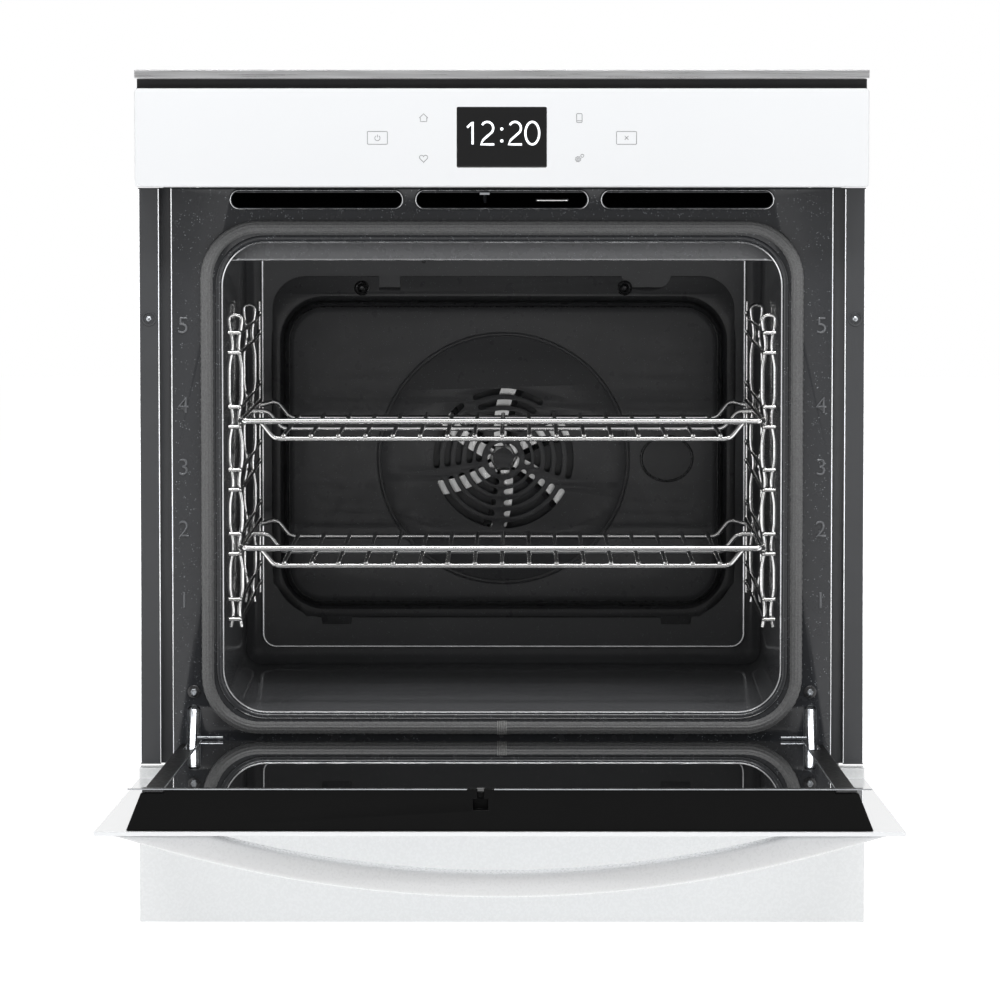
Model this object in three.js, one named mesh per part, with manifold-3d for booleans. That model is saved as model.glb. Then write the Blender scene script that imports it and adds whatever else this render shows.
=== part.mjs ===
// A built-in electric wall oven with a drop-down door, two wire racks and a fan behind the back panel.
// Millimetres. +X is to the right of a person facing the oven, +Y is into the cabinet and +Z is up.
// The origin is on the underside of the base pan, midway across, in the plane of the cabinet's face.
// The door is modelled shut and then swung open about its hinge axis, which is how the object rests.

import * as THREE from "three";
import { mergeVertices } from "three/addons/utils/BufferGeometryUtils.js";
import Module from "manifold-3d";

// ---------- Overall sizes ----------
const WIDTH = 595; // across the glass fronts
const HEIGHT = 700; // from the base pan to the top of the trim strip
const CASING_DEPTH = 545; // from the cabinet's face to the rear panel
const DOOR_THICKNESS = 34.5;
const DOOR_GAP = 6.5; // between the shut door's inner pane and the cabinet's face
const SHEET = 1.2; // casing, frame and liner steel
const CLEAR = 0.3; // between pieces that touch

// ---------- Casing and front frame ----------
const FLANGE_OVERLAP = 19.5; // each mounting flange covers this much cabinet beside the casing
const FLANGE_FACE = 16.5; // flat of the flange, from its outer edge to the step beside the frame
const STEP_WIDTH = 9.5; // the step between the flange and the frame
const STEP_DEPTH = 7.2;
const FRAME_SETBACK = 1.5; // the frame's face lies this far behind the cabinet's face
const CASING_TOP_DROP = 22; // the top cover lies this far below the top of the trim strip
const BASE_LIP = 8; // the base pan runs this far out from the cabinet's face
const FLANGE_SCREW_FALL = 105; // below the door's top edge

// ---------- Control panel, trims ----------
const STRIP_HEIGHT = 7; // brushed strip along the top
const STRIP_RECESS = 8; // dark recess below the strip
const CONTROL_HEIGHT = 80;
const GLASS = 3.2;
const REVEAL = 3; // between the control glass and the door
const DISPLAY = { width: 73, height: 49, rise: 16 };
const LOWER_TRIM = { bottom: 1.5, gap: 9, setback: 20 }; // gap below the door, setback from its glass

// ---------- Door ----------
const DOOR_BOTTOM = 138;
const DOOR_OPEN = 87.65; // degrees from shut
const PIVOT_BACK = 18; // hinge axis behind the glass front
const PIVOT_DROP = 2; // hinge axis below the door's bottom edge
const DOOR_BODY = { outerInset: 23.5, innerInset: 34.5, endInset: 4 };
const RIM = 8; // of the top cap, over the inner pane's end
const DOOR_GLASS_INSET = 51.5; // inner pane's side edges, in from the front glass's
const HANDLE = { inset: 13.5, reach: 46, gapInset: 83.5, gap: 28, width: 22, drop: 28 };

// ---------- Hinges ----------
const HINGE_INSET = 24.2; // hinge centre plane, in from the casing's side
const HINGE_SLOT = { width: 10, drop: 3.5, height: 43.5 }; // drop below the door's bottom edge
const HINGE_ARM = 5; // arm plate thickness
const HINGE_BOLT_RISE = 11.5; // above the slot

// ---------- Cavity ----------
const SIDE_SPACE = 47; // insulation space between the liner and the casing's side
const FLOOR_RISE = 33; // cavity floor above the door's bottom edge
const CEILING_FALL = 41; // cavity ceiling below the door's top edge
const BACK_SPACE = 135; // motor space between the liner's back and the rear panel
const MOUTH_RADIUS = 37;
const LINER_RADIUS = 14;
const GASKET = { width: 10.7, offset: 10.8 };
const VENT = { height: 13, gap: 8, inset: 14 };
const LINER_WALL = 1.5;
const ELEMENT = 3.2; // radius of the heating elements
const PROBE = { x: -70, drop: 26 };

// ---------- Fan ----------
const FAN_SPACE = 24; // between the fan cover's face and the liner's back
const FAN = { share: 0.264, lampGap: 74, drop: 3.5, depth: 13, blades: 14, hub: 14, shaft: 4 };
const LAMP_INSET = 50; // from the cover's side
const COVER_FLANGE = 22;
const COVER_INSET = { side: 35, top: 64, bottom: 53 };
const GRILLE = { rings: [22, 30.4, 40.3, 50.1, 60], slot: 5.8, eyeRing: 11.6, eye: 3 };

// ---------- Racks ----------
const RACK_PITCH = 22.5; // between wires
const RACK_BACK = 61; // rack's back bar in front of the fan cover
const RACK_FRONT = 15; // front bar behind the cabinet's face
const RACK_DROP = 15.5; // the wires lie this far below the side rails
const RACK_SIDE = 16; // side rail in from the liner's wall
const BAR = 2.5; // side rails, radius
const FRONT_BAR = 2.3;
const CROSSBAR = 2;
const WIRE = 1.75;
const GUIDE_SIDE = 13.5; // guide wire in from the liner's wall
const GUIDE_PAIR = 17;
const GUIDE_FIRST = 93; // lowest guide above the cavity floor
const GUIDE_LAST = 94; // highest guide below the ceiling
const LEVELS = 5;
const LEVEL_SPREAD = 1.18; // the levels stand closer together towards the floor

// ---------- Cooling air ----------
const DUCT_BACK = 250; // from the cabinet's face
const BLOWER = { half: 150, length: 120, radius: 26 };

// ---------- Worked out from those ----------
const half = WIDTH / 2;
const casingHalf = half - FLANGE_OVERLAP;
const frameHalf = half - FLANGE_FACE - STEP_WIDTH;
const casingTop = HEIGHT - CASING_TOP_DROP;
const controlTop = HEIGHT - STRIP_HEIGHT - STRIP_RECESS;
const controlBottom = controlTop - CONTROL_HEIGHT;
const doorTop = controlBottom - REVEAL;
const doorBack = -DOOR_GAP;
const glassFront = -DOOR_GAP - DOOR_THICKNESS;
const glassBack = glassFront + GLASS;
const pivot = new THREE.Vector3(0, glassFront + PIVOT_BACK, DOOR_BOTTOM - PIVOT_DROP);
const trimTop = DOOR_BOTTOM - LOWER_TRIM.gap;
const hingeX = casingHalf - HINGE_INSET;
const slotBottom = DOOR_BOTTOM - HINGE_SLOT.drop;
const slotTop = slotBottom + HINGE_SLOT.height;
const liner = {
  half: casingHalf - SIDE_SPACE,
  floor: DOOR_BOTTOM + FLOOR_RISE,
  ceiling: doorTop - CEILING_FALL,
  front: FRAME_SETBACK + SHEET + CLEAR,
  back: CASING_DEPTH - BACK_SPACE,
};
const coverFace = liner.back - FAN_SPACE;
const rackDepth = coverFace - RACK_BACK - RACK_FRONT;
const cover = {
  half: liner.half - COVER_INSET.side,
  top: liner.ceiling - COVER_INSET.top,
  bottom: liner.floor + COVER_INSET.bottom,
};
const fanHeight = (cover.top + cover.bottom) / 2 - FAN.drop;
const lampX = cover.half - LAMP_INSET;
const fanRadius = Math.min(FAN.share * (cover.top - cover.bottom), lampX - FAN.lampGap);
const guideLevel = (level) => {
  const first = liner.floor + GUIDE_FIRST;
  const last = liner.ceiling - GUIDE_LAST;
  return first + (last - first) * ((level - 1) / (LEVELS - 1)) ** LEVEL_SPREAD;
};
const railRise = Math.sqrt((BAR + WIRE + CLEAR) ** 2 - (RACK_SIDE - GUIDE_SIDE) ** 2);
const ductTop = doorTop + 1;

// ---------- Finishes ----------
const finish = (color, roughness, metalness = 0) =>
  new THREE.MeshStandardMaterial({ color, roughness, metalness });
const WHITE_GLASS = finish(0xf1f2f4, 0.08);
const CLEAR_GLASS = finish(0x2a2c2d, 0.05);
const ENAMEL = finish(0x3e4044, 0.3);
const CAVITY_ENAMEL = finish(0x2a2b2d, 0.18);
const FLANGE_PAINT = finish(0x4e4f52, 0.5);
const BLACK_PAINT = finish(0x1a1a1a, 0.45);
const GALVANISED = finish(0xa9adb0, 0.42, 0.85);
const BRUSHED = finish(0xb9bbbd, 0.3, 1);
const CHROME = finish(0xd8dadc, 0.12, 1);
const ZINC = finish(0xb4b8bc, 0.35, 1);
const BRAID = finish(0x5c5c56, 0.9);
const WHITE_PAINT = finish(0xe4e6e6, 0.3);
const HANDLE_PAINT = finish(0xd8d8d8, 0.35);
const WOOL = finish(0xcfc9ae, 0.95);
const PLASTIC = finish(0x1c1d1e, 0.5);
const BOARD = finish(0x1f5a35, 0.5);
const SCREEN = finish(0x08090a, 0.1);
const LAMP_GLASS = finish(0xdfe3e4, 0.1);

// ---------- Solids ----------
const wasm = await Module();
wasm.setup();

// A closed geometry as a solid that can be joined and cut, with its faces turned outwards.
function solidOf(geometry) {
  const bare = geometry.index ? geometry.toNonIndexed() : geometry.clone();
  bare.deleteAttribute("normal");
  bare.deleteAttribute("uv");
  const merged = mergeVertices(bare, 1e-4);
  const vertProperties = merged.attributes.position.array;
  const triVerts = new Uint32Array(merged.index.array);
  const built = (corners) => {
    const mesh = new wasm.Mesh({ numProp: 3, vertProperties, triVerts: corners });
    return new wasm.Manifold(mesh);
  };
  const solid = built(triVerts);
  return solid.volume() > 0 ? solid : built(triVerts.toReversed());
}

const join = (...solids) => solids.reduce((whole, next) => whole.add(next));
const cut = (solid, ...tools) => tools.reduce((left, tool) => left.subtract(tool), solid);

// A block between two corners.
function block(x0, x1, y0, y1, z0, z1) {
  const box = new THREE.BoxGeometry(x1 - x0, y1 - y0, z1 - z0);
  return solidOf(box.translate((x0 + x1) / 2, (y0 + y1) / 2, (z0 + z1) / 2));
}

// The four walls of a box, open at the end where the inner block runs past the outer one.
function hollow(outer, inner) {
  return cut(block(...outer), block(...inner));
}

function roundedRect(Outline, x0, z0, x1, z1, radius) {
  const outline = new Outline();
  outline.absarc(x1 - radius, z0 + radius, radius, -Math.PI / 2, 0);
  outline.absarc(x1 - radius, z1 - radius, radius, 0, Math.PI / 2);
  outline.absarc(x0 + radius, z1 - radius, radius, Math.PI / 2, Math.PI);
  outline.absarc(x0 + radius, z0 + radius, radius, Math.PI, Math.PI * 1.5);
  outline.closePath();
  return outline;
}

// An outline seen from the front, given depth from y0 back to y1.
function frontPlate(outline, y0, y1, curveSegments = 5) {
  const plate = new THREE.ExtrudeGeometry(outline, { depth: y1 - y0, bevelEnabled: false, curveSegments });
  return solidOf(plate.rotateX(Math.PI / 2).translate(0, y1, 0));
}

const panel = (x0, x1, z0, z1, radius, y0, y1, segments) =>
  frontPlate(roundedRect(THREE.Shape, x0, z0, x1, z1, radius), y0, y1, segments);

// An outline seen from above, raised from z0 to z1.
function floorPlate(points, z0, z1) {
  const outline = new THREE.Shape(points.map(([x, y]) => new THREE.Vector2(x, y)));
  const plate = new THREE.ExtrudeGeometry(outline, { depth: z1 - z0, bevelEnabled: false });
  return solidOf(plate.translate(0, 0, z0));
}

// An outline of y and z seen from the side, given width from x0 to x1.
function sidePlate(points, x0, x1) {
  const outline = new THREE.Shape(points.map(([y, z]) => new THREE.Vector2(y, z)));
  const plate = new THREE.ExtrudeGeometry(outline, { depth: x1 - x0, bevelEnabled: false });
  const turn = new THREE.Matrix4().makeBasis(
    new THREE.Vector3(0, 1, 0),
    new THREE.Vector3(0, 0, 1),
    new THREE.Vector3(1, 0, 0),
  );
  return solidOf(plate.applyMatrix4(turn).translate(x0, 0, 0));
}

// A round bar of length along an axis letter, its low end at the given point.
function bar(axis, x, y, z, radius, length, sides = 12) {
  const rod = new THREE.CylinderGeometry(radius, radius, length, sides).translate(0, length / 2, 0);
  if (axis === "x") rod.rotateZ(-Math.PI / 2);
  if (axis === "z") rod.rotateX(Math.PI / 2);
  return solidOf(rod.translate(x, y, z));
}

// A wire's centre line: it keeps the points it is given, and turns halfway at each.
class WirePath extends THREE.Curve {
  constructor(points) {
    super();
    this.points = points;
  }

  getSpacedPoints() {
    return this.points;
  }

  getTangentAt(share, target = new THREE.Vector3()) {
    const last = this.points.length - 1;
    const here = Math.round(share * last);
    const into = Math.max(here - 1, 0);
    const after = this.points[into + 1].clone().sub(this.points[into]).normalize();
    const out = Math.min(here, last - 1);
    const before = this.points[out + 1].clone().sub(this.points[out]).normalize();
    return target.copy(after.add(before).normalize());
  }
}

// Corner points with each inner corner turned into a bend.
function bent(corners, radius, steps = 3) {
  const at = corners.map((corner) => new THREE.Vector3(...corner));
  const path = [at[0]];
  for (let i = 1; i < at.length - 1; i += 1) {
    const start = at[i].clone().add(at[i - 1].clone().sub(at[i]).setLength(radius));
    const end = at[i].clone().add(at[i + 1].clone().sub(at[i]).setLength(radius));
    path.push(...new THREE.QuadraticBezierCurve3(start, at[i], end).getPoints(steps));
  }
  path.push(at.at(-1));
  return path;
}

function wire(points, radius, sides = 6) {
  const ring = Array.from({ length: sides }, (_, i) => {
    const turn = (2 * Math.PI * (i + 0.5)) / sides;
    return new THREE.Vector2(radius * Math.cos(turn), radius * Math.sin(turn));
  });
  const extrudePath = new WirePath(points);
  const steps = points.length - 1;
  return solidOf(new THREE.ExtrudeGeometry(new THREE.Shape(ring), { steps, extrudePath }));
}

const straightWire = (from, to, radius, sides) =>
  wire([new THREE.Vector3(...from), new THREE.Vector3(...to)], radius, sides);

const mirrored = (solid) => solid.mirror([1, 0, 0]);

// ---------- Assembly ----------
const oven = new THREE.Group();
const door = new THREE.Group();
door.position.copy(pivot);
door.rotation.x = THREE.MathUtils.degToRad(DOOR_OPEN);
oven.add(door);

function addPiece(name, solid, material, group = oven) {
  const { numProp, vertProperties, triVerts } = solid.getMesh();
  if (numProp !== 3) throw new Error(`${name} carries more than its vertices`);
  const geometry = new THREE.BufferGeometry();
  geometry.setAttribute("position", new THREE.BufferAttribute(vertProperties, 3));
  geometry.setIndex(new THREE.BufferAttribute(triVerts, 1));
  if (group === door) geometry.translate(-pivot.x, -pivot.y, -pivot.z);
  const piece = new THREE.Mesh(geometry, material);
  piece.name = name;
  group.add(piece);
}

function addPair(name, solid, material, group) {
  addPiece(`${name}_right`, solid, material, group);
  addPiece(`${name}_left`, mirrored(solid), material, group);
}

// ---------- Casing ----------
const wallInside = casingHalf - SHEET - CLEAR;

function basePan() {
  const rim = 15;
  const back = CASING_DEPTH - CLEAR;
  const plate = block(-casingHalf, casingHalf, -BASE_LIP, back, 0, SHEET);
  const rimBack = back - SHEET - CLEAR;
  const upstand = hollow(
    [-wallInside, wallInside, STEP_DEPTH + 2, rimBack, 0, rim],
    [-wallInside + SHEET, wallInside - SHEET, STEP_DEPTH + 2 + SHEET, rimBack - SHEET, -1, rim + 1],
  );
  const slots = [];
  for (let x = -casingHalf + 78; x < casingHalf - 60; x += 60)
    slots.push(block(x, x + 40, CASING_DEPTH - 90, CASING_DEPTH - 82, -1, SHEET + 1));
  return cut(join(plate, upstand), ...slots);
}

// Right-hand side: a channel open towards the middle, with cooling slots behind the cavity.
function sidePanel() {
  const fold = 12;
  const front = STEP_DEPTH + CLEAR;
  const inside = casingHalf - SHEET;
  const channel = floorPlate(
    [
      [casingHalf, front],
      [casingHalf, CASING_DEPTH - CLEAR],
      [casingHalf - fold, CASING_DEPTH - CLEAR],
      [casingHalf - fold, CASING_DEPTH - CLEAR - SHEET],
      [inside, CASING_DEPTH - CLEAR - SHEET],
      [inside, front],
    ],
    SHEET + CLEAR,
    casingTop - CLEAR,
  );
  const slots = [];
  for (let z = casingTop - 180; z < casingTop - 60; z += 24)
    slots.push(block(inside - 1, casingHalf + 1, CASING_DEPTH - 110, CASING_DEPTH - 50, z, z + 6));
  return cut(channel, ...slots);
}

function rearPanel() {
  const bottom = SHEET + CLEAR;
  const plate = block(-casingHalf, casingHalf, CASING_DEPTH, CASING_DEPTH + SHEET, bottom, casingTop);
  const slots = [];
  for (let z = fanHeight - 60; z <= fanHeight + 60; z += 24)
    for (const x of [-62, 2])
      slots.push(block(x, x + 60, CASING_DEPTH - 1, CASING_DEPTH + SHEET + 1, z, z + 7));
  return cut(plate, ...slots);
}

function topCover() {
  const fold = 14;
  const outer = [-casingHalf, casingHalf, 0, CASING_DEPTH - CLEAR, casingTop, casingTop + SHEET];
  const lip = block(-wallInside, wallInside, CLEAR, CLEAR + SHEET, casingTop - fold, casingTop + SHEET);
  const slots = [];
  for (let x = -casingHalf + 98; x < casingHalf - 100; x += 48)
    slots.push(block(x, x + 6, CASING_DEPTH - 120, CASING_DEPTH - 50, casingTop - 1, casingTop + 3));
  return cut(join(block(...outer), lip), ...slots);
}

const screw = { x: half - FLANGE_FACE / 2, z: doorTop - FLANGE_SCREW_FALL };

// Right-hand mounting flange: its face lies on the cabinet and its step drops back beside the frame.
function mountingFlange() {
  const faceInner = half - FLANGE_FACE;
  const strip = floorPlate(
    [
      [half, -FRAME_SETBACK],
      [half, 0],
      [faceInner + SHEET, 0],
      [faceInner + SHEET, STEP_DEPTH],
      [frameHalf + CLEAR, STEP_DEPTH],
      [frameHalf + CLEAR, STEP_DEPTH - SHEET],
      [faceInner, STEP_DEPTH - SHEET],
      [faceInner, -FRAME_SETBACK],
    ],
    trimTop + 1,
    doorTop + 2,
  );
  return cut(strip, bar("y", screw.x, -5, screw.z, 2.2, 10, 10));
}

function flangeScrew() {
  const seat = -FRAME_SETBACK - CLEAR;
  const head = bar("y", screw.x, seat - 1.8, screw.z, 3.6, 1.8, 12);
  return join(head, bar("y", screw.x, seat - 0.5, screw.z, 1.9, 14, 8));
}

addPiece("base_pan", basePan(), GALVANISED);
addPair("side_panel", sidePanel(), GALVANISED);
addPiece("rear_panel", rearPanel(), GALVANISED);
addPiece("top_cover", topCover(), GALVANISED);
addPair("mounting_flange", mountingFlange(), FLANGE_PAINT);
addPair("flange_screw", flangeScrew(), ZINC);

// ---------- Front frame, gasket and hinge pockets ----------
const ventTop = doorTop - 1;
const ventWidth = (2 * liner.half - 2 * VENT.inset - 2 * VENT.gap) / 3;
const ventStart = (i) => -liner.half + VENT.inset + i * (ventWidth + VENT.gap);

function frontFrame() {
  const y0 = FRAME_SETBACK;
  const y1 = y0 + SHEET;
  const face = panel(-frameHalf, frameHalf, trimTop + 1, doorTop + 2, 1, y0, y1, 1);
  const mouth = panel(-liner.half, liner.half, liner.floor, liner.ceiling, MOUTH_RADIUS, y0 - 1, y1 + 1, 8);
  const vents = [0, 1, 2].map((i) => {
    const x = ventStart(i);
    const round = VENT.height / 2 - 0.2;
    return panel(x, x + ventWidth, ventTop - VENT.height, ventTop, round, y0 - 1, y1 + 1, 3);
  });
  const slots = [-hingeX, hingeX].map((x) => {
    const side = HINGE_SLOT.width / 2;
    return panel(x - side, x + side, slotBottom, slotTop, 2, y0 - 1, y1 + 1, 2);
  });
  const returns = [-frameHalf, frameHalf - SHEET].map((x) =>
    block(x, x + SHEET, y0, y0 + 12, trimTop + 2, doorTop + 1),
  );
  return cut(join(face, ...returns), mouth, ...vents, ...slots);
}

function doorGasket() {
  const ring = (side, y0, y1) =>
    panel(
      -liner.half - side,
      liner.half + side,
      liner.floor - side,
      liner.ceiling + side,
      MOUTH_RADIUS + side / 2,
      y0,
      y1,
      6,
    );
  const back = FRAME_SETBACK - CLEAR;
  const front = doorBack + CLEAR;
  const outer = ring(GASKET.offset + GASKET.width / 2, front, back);
  return cut(outer, ring(GASKET.offset - GASKET.width / 2, front - 1, back + 1));
}

// Steel pocket behind each slot, which the hinge arm hooks into.
function hingeReceiver() {
  const y0 = FRAME_SETBACK + SHEET + CLEAR;
  const side = HINGE_SLOT.width / 2 + 1.5;
  const outer = [hingeX - side, hingeX + side, y0, y0 + 46, slotBottom - 4, slotTop + 18];
  const inner = [hingeX - side + 1.5, hingeX + side - 1.5, y0 - 1, y0 + 44, slotBottom, slotTop];
  return hollow(outer, inner);
}

// Fixed arm: a plate from the hinge axis back through the slot, hooked over the pocket.
function hingeArm() {
  const y = pivot.y;
  const z = pivot.z;
  const top = slotTop - 2;
  return sidePlate(
    [
      [y - 6, z - 3],
      [y, z - 7],
      [y + 7, z - 3],
      [FRAME_SETBACK - 4, slotBottom + 1],
      [FRAME_SETBACK + 30, slotBottom + 1],
      [FRAME_SETBACK + 36, slotBottom + 12],
      [FRAME_SETBACK + 36, top - 6],
      [FRAME_SETBACK + 30, top],
      [FRAME_SETBACK - 6, top],
      [FRAME_SETBACK - 11, top - 12],
      [y - 5, z + 6],
    ],
    hingeX - HINGE_ARM / 2,
    hingeX + HINGE_ARM / 2,
  );
}

function hingeBolt() {
  const z = slotTop + HINGE_BOLT_RISE;
  return bar("y", hingeX, FRAME_SETBACK - CLEAR - 2.4, z, 4.4, 2.4, 6);
}

addPiece("front_frame", frontFrame(), ENAMEL);
addPiece("door_gasket", doorGasket(), BRAID);
addPair("hinge_receiver", hingeReceiver(), ZINC);
addPair("hinge_arm", hingeArm(), ZINC);
addPair("hinge_bolt", hingeBolt(), ZINC);

// ---------- Cavity ----------
// The space inside the liner, grown by a wall: a rounded block with a rounded back edge.
function cavitySpace(grow, front) {
  const round = LINER_RADIUS - 1;
  const r = LINER_RADIUS + grow - round;
  const shape = roundedRect(
    THREE.Shape,
    -liner.half - grow + round,
    liner.floor - grow + round,
    liner.half + grow - round,
    liner.ceiling + grow - round,
    Math.max(r, 1),
  );
  const depth = liner.back + grow - front - 2 * round;
  const space = new THREE.ExtrudeGeometry(shape, {
    depth,
    bevelEnabled: true,
    bevelSize: round,
    bevelThickness: round,
    bevelSegments: 3,
    curveSegments: 3,
  });
  return solidOf(space.rotateX(Math.PI / 2).translate(0, liner.back + grow - round, 0));
}

function cavityLiner() {
  const lip = 12;
  const past = 40;
  const outer = cavitySpace(LINER_WALL, liner.front - past);
  const front = block(
    -liner.half - past,
    liner.half + past,
    liner.front - 2 * past,
    liner.front,
    liner.floor - past,
    liner.ceiling + past,
  );
  const flange = panel(
    -liner.half - lip,
    liner.half + lip,
    liner.floor - lip,
    liner.ceiling + lip,
    LINER_RADIUS + lip,
    liner.front,
    liner.front + SHEET,
    3,
  );
  const back = liner.back;
  const holes = [
    bar("y", 0, back - 5, fanHeight, 9, 12, 16),
    bar("y", lampX, back - 5, fanHeight, 17, 12, 16),
    bar("y", PROBE.x, back - 5, liner.ceiling - PROBE.drop, 4, 12, 10),
  ];
  return cut(join(cut(outer, front), flange), cavitySpace(0, liner.front - past), ...holes);
}

function insulationBlanket() {
  const wool = 22;
  const gap = 1;
  const y0 = 75;
  const inner = LINER_WALL + gap;
  const outer = [
    -liner.half - wool,
    liner.half + wool,
    y0,
    liner.back + wool,
    liner.floor - wool - 12,
    liner.ceiling + wool,
  ];
  const space = [
    -liner.half - inner,
    liner.half + inner,
    y0 - 1,
    liner.back + inner,
    liner.floor - 12,
    liner.ceiling + inner,
  ];
  const motorHole = bar("y", 0, liner.back, fanHeight, 44, 40, 20);
  const lampHole = bar("y", lampX, liner.back, fanHeight, 24, 40, 16);
  const probeHole = bar("y", PROBE.x, liner.back, liner.ceiling - PROBE.drop, 8, 40, 8);
  return cut(hollow(outer, space), motorHole, lampHole, probeHole);
}

// Bent strip hanging from the ceiling just inside the mouth, in front of the grill element.
function ceilingBaffle() {
  const top = liner.ceiling - CLEAR;
  const side = liner.half - LINER_RADIUS - 1;
  return sidePlate(
    [
      [liner.front + 8, top],
      [liner.front + 6.8, top],
      [liner.front + 5, top - 4],
      [liner.front + 16, top - 17],
      [liner.front + 17.2, top - 17],
      [liner.front + 6.6, top - 4],
    ],
    -side,
    side,
  );
}

// A flat element of four passes between front and back, joined by bends, with both ends at the back.
function passes(height, side, front, back) {
  const ends = back + 30;
  const near = side / 3;
  const corners = [
    [-side, ends, height],
    [-side, front, height],
    [-near, front, height],
    [-near, back, height],
    [near, back, height],
    [near, front, height],
    [side, front, height],
    [side, ends, height],
  ];
  return wire(bent(corners, 14), ELEMENT);
}

const broilElement = () => passes(liner.ceiling - 13, liner.half - 55, 70, liner.back - 70);
const bakeElement = () => passes(liner.floor - 7, liner.half - 40, 95, liner.back - 55);

function temperatureProbe() {
  const z = liner.ceiling - PROBE.drop;
  const stem = bar("y", PROBE.x, liner.back - 75, z, 2.4, 95, 8);
  return join(stem, bar("y", PROBE.x, liner.back + 3, z, 6, 3, 8));
}

addPiece("cavity_liner", cavityLiner(), CAVITY_ENAMEL);
addPiece("insulation_blanket", insulationBlanket(), WOOL);
addPiece("ceiling_baffle", ceilingBaffle(), CAVITY_ENAMEL);
addPiece("broil_element", broilElement(), BLACK_PAINT);
addPiece("bake_element", bakeElement(), BLACK_PAINT);
addPiece("temperature_probe", temperatureProbe(), CHROME);

// ---------- Fan, ring element and their cover ----------
// One curved slot of the grille, between two angles on a ring.
function grilleSlot(radius, from, to) {
  const slot = new THREE.Shape();
  slot.absarc(0, 0, radius + GRILLE.slot / 2, from, to, false);
  slot.absarc(0, 0, radius - GRILLE.slot / 2, to, from, true);
  slot.closePath();
  return frontPlate(slot, -6, 6, 3).translate([0, coverFace, fanHeight]);
}

function fanCover() {
  const reach = COVER_FLANGE;
  const faceRadius = 36;
  const flangeY = liner.back - CLEAR - SHEET;
  const flange = panel(
    -cover.half - reach / 2,
    cover.half + reach / 2,
    cover.bottom - reach / 2,
    cover.top + reach,
    faceRadius,
    flangeY,
    flangeY + SHEET,
    4,
  );
  const pan = (wall, y0, y1) => {
    const side = cover.half - wall;
    return panel(-side, side, cover.bottom + wall, cover.top - wall, faceRadius, y0, y1, 5);
  };
  const raised = join(flange, pan(0, coverFace, flangeY + SHEET));
  const tools = [pan(SHEET, coverFace + SHEET, liner.back + 1)];
  GRILLE.rings.forEach((radius, ring) => {
    const bridge = 5.5 / radius + 0.02;
    for (let k = 0; k < 5; k += 1) {
      const start = (2 * Math.PI * k) / 5 + 0.42 * ring;
      tools.push(grilleSlot(radius, start + bridge, start + (2 * Math.PI) / 5 - bridge));
    }
  });
  for (let k = 0; k < 5; k += 1) {
    const turn = (2 * Math.PI * (k + 0.25)) / 5;
    const x = GRILLE.eyeRing * Math.sin(turn);
    const z = fanHeight + GRILLE.eyeRing * Math.cos(turn);
    tools.push(bar("y", x, coverFace - 5, z, GRILLE.eye, 10, 8));
  }
  tools.push(bar("y", lampX, coverFace - 5, fanHeight, 21, 10, 16));
  return cut(raised, ...tools);
}

function fanWheel() {
  const y0 = liner.back - 5 - FAN.depth;
  const disc = bar("y", 0, y0 + FAN.depth - 1, fanHeight, fanRadius, 1, 36);
  const hub = bar("y", 0, y0, fanHeight, FAN.hub, FAN.depth, 14);
  const blades = Array.from({ length: FAN.blades }, (_, i) =>
    block(-0.6, 0.6, y0, y0 + FAN.depth - 0.5, fanRadius * 0.55, fanRadius - 1)
      .rotate([0, (360 * i) / FAN.blades, 0])
      .translate([0, 0, fanHeight]),
  );
  const shaft = bar("y", 0, y0 + 2, fanHeight, FAN.shaft, FAN.depth + 34, 10);
  return join(disc, hub, shaft, ...blades);
}

function fanMotor() {
  const y0 = liner.back + 6;
  const can = bar("y", 0, y0, fanHeight, 36, 52, 20);
  const plate = panel(-42, 42, fanHeight - 12, fanHeight + 12, 4, y0, y0 + 2, 2);
  return cut(join(can, plate), bar("y", 0, y0 - 1, fanHeight, FAN.shaft + 1, 40, 10));
}

function ringElement() {
  const radius = fanRadius + 16;
  const y = liner.back - 11;
  const turns = 30;
  const points = Array.from({ length: turns + 1 }, (_, i) => {
    const turn = 0.16 + ((2 * Math.PI - 0.32) * i) / turns;
    return new THREE.Vector3(radius * Math.sin(turn), y, fanHeight - radius * Math.cos(turn));
  });
  return wire(points, ELEMENT);
}

function lampHousing() {
  const outer = bar("y", lampX, liner.back - 8, fanHeight, 16, 50, 16);
  const inner = bar("y", lampX, liner.back - 9, fanHeight, 14, 44, 16);
  return cut(outer, inner);
}

function lampLens() {
  const outline = [
    [0, 0],
    [17, 1],
    [20, 4],
    [20, 9],
    [18, 9],
    [18, 5],
    [15.5, 3],
    [0, 2],
  ].map(([radius, depth]) => new THREE.Vector2(radius, depth));
  const dome = new THREE.LatheGeometry([...outline, outline[0]], 16);
  return solidOf(dome).translate([lampX, coverFace - 3, fanHeight]);
}

addPiece("fan_cover", fanCover(), CAVITY_ENAMEL);
addPiece("convection_fan", fanWheel(), BRUSHED);
addPiece("fan_motor", fanMotor(), GALVANISED);
addPiece("ring_element", ringElement(), BLACK_PAINT);
addPiece("lamp_housing", lampHousing(), GALVANISED);
addPiece("lamp_lens", lampLens(), LAMP_GLASS);

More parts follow.
